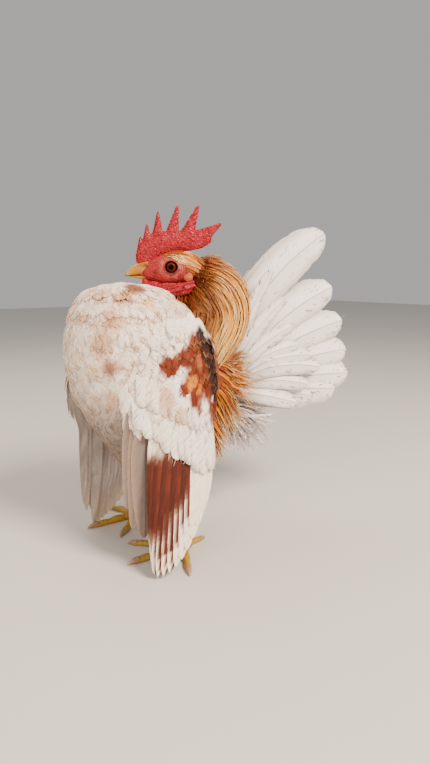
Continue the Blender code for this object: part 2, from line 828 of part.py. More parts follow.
def tail_feather(name, side, tip, half_width, layer, splay, shape, grow=0.0):
    """A feather of the tail. tip holds its end's elevation and distance, and how much steeper it starts."""
    elevation, distance, rise = math.radians(tip[0]), tip[1], math.radians(tip[2])
    end = Vector((math.cos(elevation), math.sin(elevation))) * distance
    bend = Vector((math.cos(elevation + rise), math.sin(elevation + rise))) * (distance * 0.52)
    start = bend.normalized() * QUILL_START
    line = arc(start, bend, end)

    def path(t):
        along, up = line(t)
        return tail_point(along, up, side * (layer + (along * along + up * up) ** 0.5 * math.sin(splay)))

    def across(t):
        ahead = path(min(t + 0.05, 1)) - path(max(t - 0.05, 0))
        left = tail_point(0, 0, side) - tail_point(0, 0, 0)
        return (ahead.cross(left).normalized() + left * VANE_TILT) * side

    return blade(name, path, across, half_width, shape, grow=grow)


def rectrices(side, grow=0.0):
    feathers = []
    last = len(RECTRICES) - 1
    for index, tip in enumerate(RECTRICES):
        layer = 1.0 + RECTRIX_LAYER * (last - index)
        splay = blend(*RECTRIX_SPLAY, index / last)
        feathers.append(tail_feather("rectrix", side, tip[:3], tip[3], layer, splay, RECTRIX_SHAPE, grow))
    return feathers


def tail_coverts(side, grow=0.0):
    return [
        tail_feather("covert", side, covert[:3], covert[3], COVERT_LAYER, COVERT_SPLAY, SICKLE_SHAPE, grow)
        for covert in TAIL_COVERTS
    ]


def tail_feathers(grow=0.0):
    return [feather for side in (LEFT, RIGHT) for feather in rectrices(side, grow) + tail_coverts(side, grow)]


def tail(name):
    return cut(joined(tail_block(name), tail_feathers()), [torso_core(GAP), neck_core(GAP)])


def sided(point, side):
    return Vector((point[0] * side, point[1], point[2]))


def thigh(name, side):
    path = [sided(point, side) for point, _ in THIGH_STATIONS]
    sizes = [(radius, radius) for _, radius in THIGH_STATIONS]
    return cut(tube(name, path, sizes, 12), [torso_core(GAP), wing_flight("near", side)])


def shank_path(side):
    return sided(HOCK, side), sided(ANKLE, side)


def shank(name, side):
    """The scaled leg, its broad front scales as rings."""
    top, bottom = shank_path(side)
    path, sizes = [], []
    steps = 2 * SHANK_RINGS
    for step in range(steps + 1):
        t = step / steps
        radius = 3.5 + 0.7 * abs(2 * t - 1) ** 2 + (0.28 if step % 2 else -0.1)
        path.append(blend(top, bottom, t))
        sizes.append((radius * 0.9, radius * 1.1))
    return cut(tube(name, path, sizes, 8), [thigh_core(side, GAP), pad("near", side, GAP)])


def thigh_core(side, grow):
    path = [sided(point, side) for point, _ in THIGH_STATIONS]
    path[-1] = path[-1] - UP * grow
    return tube("thigh", path, [(radius + grow, radius + grow) for _, radius in THIGH_STATIONS], 12)


def grounded(item):
    """Flattens whatever lies below the floor onto it."""
    for corner in item.data.vertices:
        corner.co.z = max(corner.co.z, 0.0)
    return item


def pad(name, side, grow=0.0):
    centre = sided(ANKLE, side) - UP * 5.5
    return grounded(ball(name, centre, PAD_RADII + Vector((grow, grow, grow)), columns=12, rows=6))


def toe_way(side, direction):
    angle = math.radians(direction)
    return Vector((side * math.sin(angle), -math.cos(angle), 0))


def toe(name, side, direction, length, claw, radius, grow=0.0):
    """A toe with its joints, from inside the pad of the foot to where its claw begins."""
    way = toe_way(side, direction)
    foot = sided(ANKLE, side)
    reach = length - claw
    joints = 3 if length > 30 else 2
    path, sizes = [], []
    for step in range(2 * joints + 2):
        t = step / (2 * joints + 1)
        half = radius * (1.05 - 0.35 * t) * (1.1 if step % 2 else 0.88) + grow
        path.append(foot + way * (reach * t + 1) + UP * (half * 0.72 - foot.z))
        sizes.append((half, half))
    return grounded(tube(name, path, sizes, TOE_COLUMNS, way.cross(UP)))


def claw_body(name, side, direction, length, claw_length, radius, grow=0.0):
    """A claw that curves forward and down from the end of its toe to the floor."""
    way = toe_way(side, direction)
    foot = sided(ANKLE, side)
    start = length - claw_length
    path, sizes = [], []
    for t, part in ((0, 0.62), (0.35, 0.6), (0.7, 0.4), (0.95, 0.16)):
        path.append(foot + way * (start + claw_length * t) + UP * (radius * (0.75 - 0.55 * t * t) - foot.z))
        sizes.append((radius * part + grow, radius * part * 1.1 + grow))
    tip = foot + way * (length + grow) + UP * (0.3 - foot.z)
    return grounded(tube(name, path, sizes, 6, way.cross(UP), None, tip))


def claw(name, side, *sizes):
    return cut(claw_body(name, side, *sizes), [toe("near", side, *sizes, GAP)])


def spur(name, side):
    """The short spur at the back of the shank, on its inner side."""
    top, bottom = shank_path(side)
    root = blend(top, bottom, SPUR_AT)
    way = Vector((-0.45 * side, 1.0, 0.05)).normalized()
    path = [root + way * (2.5 + SPUR_LENGTH * t) for t in (0, 0.3, 0.65, 0.9)]
    sizes = [(1.9, 2.0), (1.7, 1.8), (1.1, 1.2), (0.5, 0.5)]
    item = tube(name, path, sizes, 8, UP.cross(way), None, root + way * (2.5 + SPUR_LENGTH))
    return cut(item, [leg_core(side)])


def leg_core(side):
    top, bottom = shank_path(side)
    return tube("leg", [blend(top, bottom, t) for t in (0, 0.5, 1)], [(4.6, 5.2), (3.8, 4.5), (4.6, 5.2)], 10)


def material(name):
    colour, roughness = MATERIALS[name]
    made = bpy.data.materials.new(name)
    made.use_nodes = True
    shader = made.node_tree.nodes["Principled BSDF"]
    shader.inputs["Base Color"].default_value = (*colour, 1)
    shader.inputs["Roughness"].default_value = roughness
    made.diffuse_color = (*colour, 1)
    return made


def finish(item, collection, look):
    """Moves a part into the model's collection under its own material."""
    for holder in list(item.users_collection):
        holder.objects.unlink(item)
    collection.objects.link(item)
    item.data.materials.clear()
    item.data.materials.append(look)
    item.data.shade_smooth()
    item.data.set_sharp_from_angle(angle=SHARP_ANGLE)


def build_feet(parts):
    for word, side in SIDES.items():
        parts[f"foot_{word}"] = (pad(f"foot_{word}", side), "leg_yellow")
        for toe_name, (direction, length, claw_length, radius) in TOES.items():
            sizes = (side, direction, length, claw_length, radius)
            name = f"toe_{toe_name}_{word}"
            near = [pad("near", side, GAP)]
            if toe_name != "middle":
                near.append(toe("near", side, *TOES["middle"], GAP))
            parts[name] = (cut(toe(name, *sizes), near), "leg_yellow")
            name = f"claw_{toe_name}_{word}"
            parts[name] = (claw(name, *sizes), "claw_horn")


def build_pairs(parts):
    for word, side in SIDES.items():
        for stem, maker, look in (
            ("eye", eye, "eye_brown"),
            ("wattle", wattle, "face_red"),
            ("earlobe", earlobe, "lobe_tan"),
            ("wing", wing, "wing_white"),
            ("wing_flight", wing_flight, "flight_rust"),
            ("thigh", thigh, "body_white"),
            ("shank", shank, "leg_yellow"),
            ("spur", spur, "claw_horn"),
        ):
            parts[f"{stem}_{word}"] = (maker(f"{stem}_{word}", side), look)


def main():
    clear_scene()
    parts = {}
    for name, maker, look in (
        ("torso", torso, "body_white"),
        ("neck", neck, "hackle_gold"),
        ("head", head, "face_red"),
        ("comb", comb, "face_red"),
        ("beak_upper", upper_beak, "beak_horn"),
        ("beak_lower", lower_beak, "beak_horn"),
        ("tail", tail, "tail_white"),
    ):
        parts[name] = (maker(name), look)
    build_pairs(parts)
    build_feet(parts)
    collection = bpy.data.collections.new("serama_cock")
    bpy.context.scene.collection.children.link(collection)
    looks = {name: material(name) for name in MATERIALS}
    for name, (item, look) in parts.items():
        item.name = name
        item.data.name = name
        finish(item, collection, looks[look])


main()
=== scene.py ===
"""A serama cock as a museum shows one: skin, feathers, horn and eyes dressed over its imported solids.

Lengths are in millimetres from the middle of the bird's stance until a mesh is made. The bird faces -Y, its left
side is +X, and its head looks towards its right.
"""

import json
import logging
import math
from dataclasses import dataclass
from enum import Enum
from typing import Callable, Sequence

import bmesh
import bpy
import numpy as np
from mathutils import Matrix, Vector


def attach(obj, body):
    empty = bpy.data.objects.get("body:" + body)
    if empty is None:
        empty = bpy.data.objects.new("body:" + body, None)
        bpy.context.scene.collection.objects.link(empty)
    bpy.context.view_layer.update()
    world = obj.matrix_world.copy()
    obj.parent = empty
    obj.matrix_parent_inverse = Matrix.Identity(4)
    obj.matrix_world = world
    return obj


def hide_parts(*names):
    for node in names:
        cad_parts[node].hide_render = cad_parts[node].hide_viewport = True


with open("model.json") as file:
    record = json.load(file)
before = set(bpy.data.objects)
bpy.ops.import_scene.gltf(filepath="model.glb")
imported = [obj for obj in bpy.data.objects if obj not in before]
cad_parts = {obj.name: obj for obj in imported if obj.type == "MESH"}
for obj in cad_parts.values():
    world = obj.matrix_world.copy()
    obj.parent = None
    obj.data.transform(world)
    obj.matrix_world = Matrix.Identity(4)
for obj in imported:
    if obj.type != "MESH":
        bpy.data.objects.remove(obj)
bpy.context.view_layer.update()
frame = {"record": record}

LOG = logging.getLogger("serama_cock")
Array = np.ndarray
Field = Callable[[Array], Array]

MM = 0.001
# The soles lie 5 mm behind the middle of the stance.
SOLE = frame["record"]["mounts"][0]["pos_m"]
STANCE = np.array((0.0, SOLE[1] / MM - 5.0, 0.0))
UP = np.array((0.0, 0.0, 1.0))
PATCH = 0.003


class Side(Enum):
    """The bird's own left and right, as signs along X."""

    LEFT = 1
    RIGHT = -1


def linear(code: str) -> Array:
    """A colour in linear light.

    Args:
        code: the sRGB colour as hex digits.

    Returns:
        Its three channels.
    """
    channels = np.array([int(code[i : i + 2], 16) for i in (0, 2, 4)]) / 255
    return np.where(channels <= 0.04045, channels / 12.92, ((channels + 0.055) / 1.055) ** 2.4)


def mix(a: Array, b: Array, share: Array) -> Array:
    """Linear colours between a and b, evenly spaced to the eye, share being 0 to 1 and one axis shorter."""
    share = np.clip(share, 0, 1)[..., None]
    return (np.sqrt(a) * (1 - share) + np.sqrt(b) * share) ** 2


def unit(vectors: Array) -> Array:
    """The same directions at length 1."""
    return vectors / np.maximum(np.linalg.norm(vectors, axis=-1, keepdims=True), 1e-9)


def ramp(value: Array, start: float, end: float) -> Array:
    """A soft step from 0 at start to 1 at end."""
    t = np.clip((value - start) / (end - start), 0, 1)
    return t * t * (3 - 2 * t)


def curve(x: Array, knots: Sequence[Sequence[float]]) -> Array:
    """Smooth curves through knots.

    Args:
        x: where the curves are read.
        knots: rows of a place and the value of each curve there.

    Returns:
        An array with one more axis than x, of the curves' values.
    """
    table = np.array(knots, float)
    place, values = table[:, 0], table[:, 1:]
    slopes = np.gradient(values, place, axis=0)
    x = np.clip(x, place[0], place[-1])
    i = np.clip(np.searchsorted(place, x) - 1, 0, len(place) - 2)
    h = place[i + 1] - place[i]
    t = ((x - place[i]) / h)[..., None]
    h = h[..., None]
    return (
        (2 * t**3 - 3 * t**2 + 1) * values[i]
        + (t**3 - 2 * t**2 + t) * h * slopes[i]
        + (3 * t**2 - 2 * t**3) * values[i + 1]
        + (t**3 - t**2) * h * slopes[i + 1]
    )


def lump(points: Array, size: float, seed: float = 0.0) -> Array:
    """Smooth cheap noise from a few crossed waves.

    Args:
        points: where it is read, in millimetres.
        size: about how wide a lump is.
        seed: moves the pattern.

    Returns:
        Values from -1 to 1.
    """
    total = np.zeros(points.shape[:-1])
    for step in range(5):
        turn = seed + 1.7 * step
        way = np.array((math.sin(turn * 2.1), math.cos(turn * 1.3), math.sin(turn * 3.7 + 1)))
        total += np.sin(points @ (way * (math.pi / size) * (1 + 0.23 * step)) + turn * 5)
    return total / 3.2


# Meshes


def mesh_object(name: str, points: Array, faces: Sequence[Sequence[int]]) -> bpy.types.Object:
    """A mesh object with its place in its mesh.

    Args:
        name: the piece's name.
        points: corners in millimetres.
        faces: quads as an array, or faces of any length as lists.

    Returns:
        The linked object.
    """
    mesh = bpy.data.meshes.new(name)
    placed = (np.asarray(points, float) + STANCE) * MM
    if isinstance(faces, np.ndarray):
        mesh.vertices.add(len(placed))
        mesh.vertices.foreach_set("co", placed.ravel())
        mesh.loops.add(faces.size)
        mesh.loops.foreach_set("vertex_index", faces.ravel().astype(np.int32))
        mesh.polygons.add(len(faces))
        mesh.polygons.foreach_set("loop_start", np.arange(0, faces.size, faces.shape[1], dtype=np.int32))
        mesh.update(calc_edges=True)
    else:
        mesh.from_pydata(placed.tolist(), [], faces)
    mesh.shade_smooth()
    item = bpy.data.objects.new(name, mesh)
    bpy.context.scene.collection.objects.link(item)
    return item


def points_of(item: bpy.types.Object) -> Array:
    """A mesh object's corners in millimetres from the middle of the stance."""
    flat = np.empty(3 * len(item.data.vertices))
    item.data.vertices.foreach_get("co", flat)
    return flat.reshape(-1, 3) / MM - STANCE


def set_points(item: bpy.types.Object, points: Array) -> None:
    """Moves a mesh object's corners to points in millimetres."""
    item.data.vertices.foreach_set("co", ((points + STANCE) * MM).ravel())
    item.data.update()


def normals_of(item: bpy.types.Object) -> Array:
    """The corner normals of a mesh object."""
    flat = np.empty(3 * len(item.data.vertices))
    item.data.vertices.foreach_get("normal", flat)
    return flat.reshape(-1, 3)


def loft(name: str, rings: Array, start: Array | None = None, end: Array | None = None) -> bpy.types.Object:
    """A closed body through rings of equal counts, its ends fanned to a point.

    Args:
        name: the piece's name.
        rings: points by ring and column.
        start: the point of the first end, or none for the ring's middle.
        end: the point of the last end.

    Returns:
        The object, its faces outward.
    """
    rings = np.asarray(rings, float)
    rows, columns = rings.shape[:2]
    tips = [ring.mean(0) if tip is None else tip for ring, tip in ((rings[0], start), (rings[-1], end))]
    points = np.concatenate([rings.reshape(-1, 3), tips])
    faces = []
    for row in range(rows - 1):
        for column in range(columns):
            a, b = row * columns + column, row * columns + (column + 1) % columns
            faces.append((a, b, b + columns, a + columns))
    for first, tip in ((0, rows * columns), ((rows - 1) * columns, rows * columns + 1)):
        for column in range(columns):
            faces.append((first + column, first + (column + 1) % columns, tip))
    item = mesh_object(name, points, faces)
    body = bmesh.new()
    body.from_mesh(item.data)
    bmesh.ops.recalc_face_normals(body, faces=body.faces)
    body.to_mesh(item.data)
    body.free()
    return item


def ellipses(centres: Array, across: Array, along: Array, sizes: Array, columns: int) -> Array:
    """Rings round ellipses.

    Args:
        centres: a middle for each ring.
        across: unit vectors of the first half axis.
        along: unit vectors of the second.
        sizes: the two half axes of each ring.
        columns: corners in a ring.

    Returns:
        Points by ring and column.
    """
    turn = np.linspace(0, 2 * np.pi, columns, endpoint=False)
    first = np.sin(turn)[None, :, None] * (across * sizes[:, :1])[:, None, :]
    second = np.cos(turn)[None, :, None] * (along * sizes[:, 1:2])[:, None, :]
    return centres[:, None, :] + first + second


def path_tube(name: str, path: Array, sizes: Array, columns: int, side: Array, tip: Array | None = None) -> bpy.types.Object:
    """A body of elliptical sections along a path.

    Args:
        name: the piece's name.
        path: the middle of each section.
        sizes: half width and half depth of each section.
        columns: corners in a section.
        side: the direction nearest to which the widths lie.
        tip: the point that the last end closes to.

    Returns:
        The object.
    """
    tangent = unit(np.gradient(path, axis=0))
    across = unit(side - tangent * (tangent @ side)[:, None])
    return loft(name, ellipses(path, across, np.cross(across, tangent), sizes, columns), None, tip)


def drop(items: Sequence[bpy.types.Object]) -> None:
    """Removes helper objects."""
    for item in items:
        bpy.data.objects.remove(item)


def baked(item: bpy.types.Object) -> bpy.types.Object:
    """Turns an object's live modifiers into plain mesh."""
    graph = bpy.context.evaluated_depsgraph_get()
    mesh = bpy.data.meshes.new_from_object(item.evaluated_get(graph))
    item.modifiers.clear()
    item.data = mesh
    return item


def fused(name: str, bodies: Sequence[bpy.types.Object], voxel: float, smooth: int) -> bpy.types.Object:
    """One even skin over bodies that overlap.

    Args:
        name: the new piece's name.
        bodies: closed objects, which are used up.
        voxel: the size of the skin's faces in millimetres.
        smooth: rounds of smoothing.

    Returns:
        The skin.
    """
    whole = bmesh.new()
    for body in bodies:
        whole.from_mesh(body.data)
    mesh = bpy.data.meshes.new(name)
    whole.to_mesh(mesh)
    whole.free()
    drop(bodies)
    item = bpy.data.objects.new(name, mesh)
    bpy.context.scene.collection.objects.link(item)
    remesh = item.modifiers.new("even", "REMESH")
    remesh.mode = "VOXEL"
    remesh.voxel_size = voxel * MM
    remesh.use_smooth_shade = True
    if smooth:
        soft = item.modifiers.new("soft", "SMOOTH")
        soft.factor = 0.5
        soft.iterations = smooth
    return baked(item)


def paint(item: bpy.types.Object, colours: Array, name: str = "tint") -> None:
    """Stores a linear colour for each corner of a mesh."""
    layer = item.data.color_attributes.new(name, "FLOAT_COLOR", "POINT")
    layer.data.foreach_set("color", np.concatenate([colours, np.ones((len(colours), 1))], 1).ravel())


def lay_uv(item: bpy.types.Object, name: str, corners: Array) -> None:
    """Stores a UV map given by one pair for each corner of the mesh."""
    index = np.empty(len(item.data.loops), np.int32)
    item.data.loops.foreach_get("vertex_index", index)
    layer = item.data.uv_layers.new(name=name)
    layer.data.foreach_set("uv", corners[index].ravel())


def dress(item: bpy.types.Object, looks: bpy.types.Material | Sequence[bpy.types.Material], slot: str, *nodes: str) -> None:
    """Gives a finished piece its material and body, and hides the solids that it stands for.

    Args:
        item: the piece.
        looks: one material, or several for its material indices.
        slot: the record's material slot, not used.
        nodes: names of the solids that it replaces.
    """
    item.data.materials.clear()
    for look in looks if isinstance(looks, (list, tuple)) else [looks]:
        item.data.materials.append(look)
    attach(item, "root")
    if nodes:
        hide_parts(*nodes)
    LOG.info("%s: %d faces", item.name, len(item.data.polygons))


# Finishes


def add(tree: bpy.types.NodeTree, kind: str, links: dict[str | int, object] | None = None, **settings: object) -> bpy.types.Node:
    """Adds a node.

    Args:
        tree: the tree it goes into.
        kind: Blender's name of the node.
        links: for each input socket, another socket to link or a value to set.
        settings: the node's own properties.

    Returns:
        The node.
    """
    node = tree.nodes.new(kind)
    for key, value in settings.items():
        setattr(node, key, value)
    for key, value in (links or {}).items():
        if isinstance(value, bpy.types.NodeSocket):
            tree.links.new(value, node.inputs[key])
        else:
            node.inputs[key].default_value = value
    return node


def shader_of(name: str) -> tuple[bpy.types.Material, bpy.types.NodeTree, bpy.types.Node]:
    """A new material with its tree and its Principled shader."""
    made = bpy.data.materials.new(name)
    made.use_nodes = True
    return made, made.node_tree, made.node_tree.nodes["Principled BSDF"]


@dataclass(frozen=True)
class VaneFinish:
    """Feather vane: keratin barbs side by side, which give a silky, faintly lined surface.

    grain scales the vane map across and along the feather, line is the colour of scattered darker barbs.
    """

    name: str
    grain: tuple[float, float] = (0.16, 1.0)
    streak: float = 0.22
    depth: float = 0.12
    roughness: float = 0.6
    line: str = "B98A62"
    line_from: float = 0.56
    line_share: float = 0.5

    def build(self) -> bpy.types.Material:
        """The material, its colour from the tint attribute and its barbs from the vane map."""
        made, tree, shader = shader_of(self.name)
        tint = add(tree, "ShaderNodeAttribute", attribute_name="tint")
        vane = add(tree, "ShaderNodeUVMap", uv_map="vane")
        barbs = add(tree, "ShaderNodeVectorMath", {0: vane.outputs[0], 1: (*self.grain, 0)}, operation="MULTIPLY")
        fine = add(tree, "ShaderNodeTexNoise", {"Vector": barbs.outputs[0], "Scale": 1.5, "Detail": 3.0})
        broad = add(tree, "ShaderNodeTexNoise", {"Vector": barbs.outputs[0], "Scale": 0.8, "Detail": 1.0})
        shade = add(tree, "ShaderNodeMapRange", {0: fine.outputs[0], 1: 0.35, 2: 0.62, 3: 1 - self.streak, 4: 1.02})
        colour = add(tree, "ShaderNodeVectorMath", {0: tint.outputs[0], "Scale": shade.outputs[0]}, operation="SCALE")
        spots = {0: broad.outputs[0], 1: self.line_from, 2: self.line_from + 0.1, 3: 0.0, 4: self.line_share}
        marks = add(tree, "ShaderNodeMapRange", spots)
        tone = {"Factor": marks.outputs[0], 6: colour.outputs[0], 7: (*linear(self.line), 1)}
        lined = add(tree, "ShaderNodeMix", tone, data_type="RGBA", blend_type="MULTIPLY")
        bump = add(tree, "ShaderNodeBump", {"Height": fine.outputs[0], "Distance": self.depth * MM, "Strength": 0.7})
        tree.links.new(lined.outputs[2], shader.inputs["Base Color"])
        tree.links.new(bump.outputs[0], shader.inputs["Normal"])
        shader.inputs["Roughness"].default_value = self.roughness
        shader.inputs["Specular IOR Level"].default_value = 0.25
        return made


@dataclass(frozen=True)
class BareSkinFinish:
    """Bare facial skin: blood-red, finely beaded and a little moist, so that it shows many small glints. Painted shade
    darkens the hollows between the beads, and lighter patches are painted highlights.
    """

    name: str
    grain: float = 0.9
    depth: float = 0.22
    roughness: float = 0.42
    # deep is the painted shade in the hollows between beads; high is the colour of lighter patches painted as
    # highlights
    deep: str = "6E0412"
    high: str = "E23A58"

    def build(self) -> bpy.types.Material:
        """The material, its colour from the tint attribute with painted shade between the beads and painted highlight
        patches, and beads in Object space.
        """
        made, tree, shader = shader_of(self.name)
        tint = add(tree, "ShaderNodeAttribute", attribute_name="tint")
        place = add(tree, "ShaderNodeTexCoord")
        beads = add(
            tree,
            "ShaderNodeTexVoronoi",
            {"Vector": place.outputs["Object"], "Scale": 1 / (self.grain * MM), "Smoothness": 0.6},
            feature="SMOOTH_F1",
        )
        patches = add(tree, "ShaderNodeTexNoise", {"Vector": place.outputs["Object"], "Scale": 0.35 / MM, "Detail": 3.0})
        crest = add(tree, "ShaderNodeMapRange", {0: beads.outputs["Distance"], 1: 0.1, 2: 0.75, 3: 1.0, 4: 0.0})
        # painted shade: the hollows between beads take the deep colour
        hollow_shade = add(
            tree,
            "ShaderNodeMix",
            {"Factor": crest.outputs[0], 6: (*linear(self.deep), 1), 7: tint.outputs[0]},
            data_type="RGBA",
        )
        spots = add(tree, "ShaderNodeMapRange", {0: patches.outputs[0], 1: 0.5, 2: 0.75, 3: 0.0, 4: 0.35})
        # painted highlight: lighter patches of the high colour
        light = add(
            tree,
            "ShaderNodeMix",
            {"Factor": spots.outputs[0], 6: hollow_shade.outputs[2], 7: (*linear(self.high), 1)},
            data_type="RGBA",
        )
        bump = add(tree, "ShaderNodeBump", {"Height": crest.outputs[0], "Distance": self.depth * MM, "Strength": 0.8})
        tree.links.new(light.outputs[2], shader.inputs["Base Color"])
        tree.links.new(bump.outputs[0], shader.inputs["Normal"])
        shader.inputs["Roughness"].default_value = self.roughness
        shader.inputs["Subsurface Weight"].default_value = 0.12
        shader.inputs["Subsurface Radius"].default_value = (1.0, 0.25, 0.2)
        shader.inputs["Specular IOR Level"].default_value = 0.3
        shader.inputs["Subsurface Scale"].default_value = 0.8 * MM
        return made


@dataclass(frozen=True)
class HornFinish:
    """Beak and claw horn: smooth keratin in fine layers, waxy and slightly translucent."""

    name: str
    grain: float = 1.2
    roughness: float = 0.34

    def build(self) -> bpy.types.Material:
        """The material, its colour from the tint attribute under faint growth lines."""
        made, tree, shader = shader_of(self.name)
        tint = add(tree, "ShaderNodeAttribute", attribute_name="tint")
        place = add(tree, "ShaderNodeTexCoord")
        layers = add(tree, "ShaderNodeTexNoise", {"Vector": place.outputs["Object"], "Scale": 1 / (self.grain * MM), "Detail": 4.0})
        shade = add(tree, "ShaderNodeMapRange", {0: layers.outputs[0], 1: 0.3, 2: 0.7, 3: 0.84, 4: 1.08})
        colour = add(tree, "ShaderNodeVectorMath", {0: tint.outputs[0], "Scale": shade.outputs[0]}, operation="SCALE")
        bump = add(tree, "ShaderNodeBump", {"Height": layers.outputs[0], "Distance": 0.12 * MM, "Strength": 0.5})
        tree.links.new(colour.outputs[0], shader.inputs["Base Color"])
        tree.links.new(bump.outputs[0], shader.inputs["Normal"])
        shader.inputs["Roughness"].default_value = self.roughness
        shader.inputs["Subsurface Weight"].default_value = 0.1
        shader.inputs["Subsurface Scale"].default_value = 0.6 * MM
        return made


@dataclass(frozen=True)
class EyeFinish:
    """A living eye under its tear film: glassy, with a brown iris round a black pupil."""

    name: str = "wet_brown_eye"
    pupil: float = 0.46
    iris: float = 0.92

    def build(self) -> bpy.types.Material:
        """The material, which reads the angle from the eye's axis off the sight map."""
        made, tree, shader = shader_of(self.name)
        sight = add(tree, "ShaderNodeUVMap", uv_map="sight")
        split = add(tree, "ShaderNodeSeparateXYZ", {0: sight.outputs[0]})
        place = add(tree, "ShaderNodeTexCoord")
        fibres = add(tree, "ShaderNodeTexNoise", {"Vector": place.outputs["Object"], "Scale": 1.4 / MM, "Detail": 3.0})
        offset = add(tree, "ShaderNodeMath", {0: fibres.outputs[0], 1: 0.12, 2: split.outputs[0]}, operation="MULTIPLY_ADD")
        bands = add(tree, "ShaderNodeValToRGB", {0: offset.outputs[0]})
        stops = (
            (self.pupil, "020101"),
            (self.pupil + 0.07, "4A1C0C"),
            (0.5 * (self.pupil + self.iris) + 0.05, "64280F"),
            (self.iris, "240C06"),
            (self.iris + 0.08, "100604"),
        )
        while len(bands.color_ramp.elements) < len(stops):
            bands.color_ramp.elements.new(0.5)
        for element, (at, code) in zip(bands.color_ramp.elements, stops):
            element.position = at
            element.color = (*linear(code), 1)
        tree.links.new(bands.outputs[0], shader.inputs["Base Color"])
        shader.inputs["Roughness"].default_value = 0.05
        shader.inputs["Specular IOR Level"].default_value = 0.04
        return made


@dataclass(frozen=True)
class StudioFinish:
    """Matt painted board for the floor."""

    name: str = "matt_painted_board"
    colour: str = "CFCCC8"

    def build(self) -> bpy.types.Material:
        """The material, with a faint roller texture."""
        made, tree, shader = shader_of(self.name)
        place = add(tree, "ShaderNodeTexCoord")
        noise = add(tree, "ShaderNodeTexNoise", {"Vector": place.outputs["Object"], "Scale": 0.25 / MM, "Detail": 3.0})
        bump = add(tree, "ShaderNodeBump", {"Height": noise.outputs[0], "Distance": 0.1 * MM, "Strength": 0.3})
        tree.links.new(bump.outputs[0], shader.inputs["Normal"])
        shader.inputs["Base Color"].default_value = (*linear(self.colour), 1)
        shader.inputs["Roughness"].default_value = 0.8
        return made


class Looks:
    """All the finishes of the bird, each built once."""

    def __init__(self) -> None:
        """Builds the materials."""
        self.body = VaneFinish("body_vanes").build()
        self.hackle = VaneFinish("hackle_vanes", grain=(1.6, 0.05), streak=0.4, roughness=0.5, line="6A2408").build()
        self.flight = VaneFinish("flight_vanes", streak=0.14, line_share=0.2).build()
        self.tail = VaneFinish("tail_vanes", streak=0.12, roughness=0.5, line="5A5658", line_from=0.68, line_share=0.8).build()
        self.down = VaneFinish("down_barbs", streak=0.1, roughness=0.8, line_share=0.0).build()
        self.skin = VaneFinish("plumage_ground", streak=0.3, roughness=0.8).build()
        # these bare skins carry painted shade between their beads and painted highlight patches
        self.face = BareSkinFinish("bare_face_skin", grain=0.75, depth=0.16).build()
        self.comb = BareSkinFinish("beaded_comb_skin", grain=1.3, depth=0.4, roughness=0.34).build()
        self.wattle = BareSkinFinish("wattle_skin", grain=0.7, depth=0.12, roughness=0.36).build()
        self.lobe = BareSkinFinish("ear_lobe_skin", grain=0.7, depth=0.1, deep="8A3A23", high="E09A72").build()
        self.beak = HornFinish("beak_horn").build()
        self.claw = HornFinish("claw_horn", grain=0.8).build()
        self.scute = HornFinish("leg_scutes", grain=0.7, roughness=0.45).build()
        self.bead = HornFinish("skin_beads", grain=0.5, roughness=0.55).build()
        self.eye = EyeFinish().build()
        self.floor = StudioFinish().build()


# The bird's form


@dataclass
class Torso:
    """The outer level of the breast, back and belly."""

    top: float = 188.0
    foot: float = 40.0
    sections: tuple = (
        # height, middle y, half width, and reach to the front and back
        (40, 2, 1, 1, 1),
        (43, 0, 10, 11, 14),
        (52, -1, 21, 21, 27),
        (66, -3, 30, 29, 39),
        (85, -6, 37, 38, 50),
        (106, -9, 40.5, 46, 57),
        (128, -11, 41, 50, 58),
        (148, -13, 40.5, 48.5, 54),
        (166, -16, 36, 40, 46),
        (178, -19, 27, 29, 34),
        (185, -20, 15, 16, 19),
        (188, -20, 1, 1, 1),
    )

    def point(self, angle: Array, height: Array, out: Array | float = 0.0) -> Array:
        """Points off the surface.

        Args:
            angle: radians from the back towards the left.
            height: above the floor.
            out: distance off the surface.

        Returns:
            The points.
        """
        middle, half, front, back = np.moveaxis(curve(height, self.sections), -1, 0)
        reach = np.where(np.cos(angle) > 0, back, front) + out
        x = (np.maximum(half + out, 0)) * np.sin(angle)
        return np.stack([x, middle + np.maximum(reach, 0) * np.cos(angle), height + 0 * angle], -1)

    def normal(self, angle: Array, height: Array) -> Array:
        """Outward unit vectors of the surface."""
        level = np.clip(height, self.foot + 0.8, self.top - 0.8)
        along = self.point(angle, level + 0.7) - self.point(angle, level - 0.7)
        round_ = self.point(angle + 0.02, level) - self.point(angle - 0.02, level)
        return unit(np.cross(along, round_))


@dataclass
class Neck:
    """The outer level of the neck, drawn back in an S behind the breast."""

    stations: tuple = (
        # share from the head at 0 to the root at 1, x, y, z, half width, half depth
        (0.0, 8, 33, 198, 8, 9),
        (0.2, 10.5, 41, 190, 12, 16),
        (0.4, 13, 46, 178, 17, 24),
        (0.6, 12, 47, 162, 20, 26),
        (0.8, 7, 36, 144, 22, 25),
        (1.0, 2, 20, 122, 20, 22),
    )

    def axis(self, share: Array) -> Array:
        """The neck's middle line."""
        return curve(share, self.stations)[..., :3]

    def point(self, angle: Array, share: Array, out: Array | float = 0.0) -> Array:
        """Points off the surface.

        Args:
            angle: radians from the back towards the left.
            share: 0 at the head to 1 at the root.
            out: distance off the surface.

        Returns:
            The points.
        """
        values = curve(share, self.stations)
        tangent = unit(self.axis(np.clip(share - 0.08, 0, 1)) - self.axis(np.clip(share + 0.08, 0, 1)))
        side = np.array((1.0, 0, 0))
        across = unit(side - tangent * tangent[..., :1])
        back = np.cross(tangent, across)
        wide = (values[..., 3] + out) * np.sin(angle)
        deep = (values[..., 4] + out) * np.cos(angle)
        return values[..., :3] + across * wide[..., None] + back * deep[..., None]

    def normal(self, angle: Array, share: Array) -> Array:
        """Outward unit vectors of the surface."""
        along = self.point(angle, share + 0.02) - self.point(angle, share - 0.02)
        round_ = self.point(angle + 0.05, share) - self.point(angle - 0.05, share)
        return unit(np.cross(round_, along))


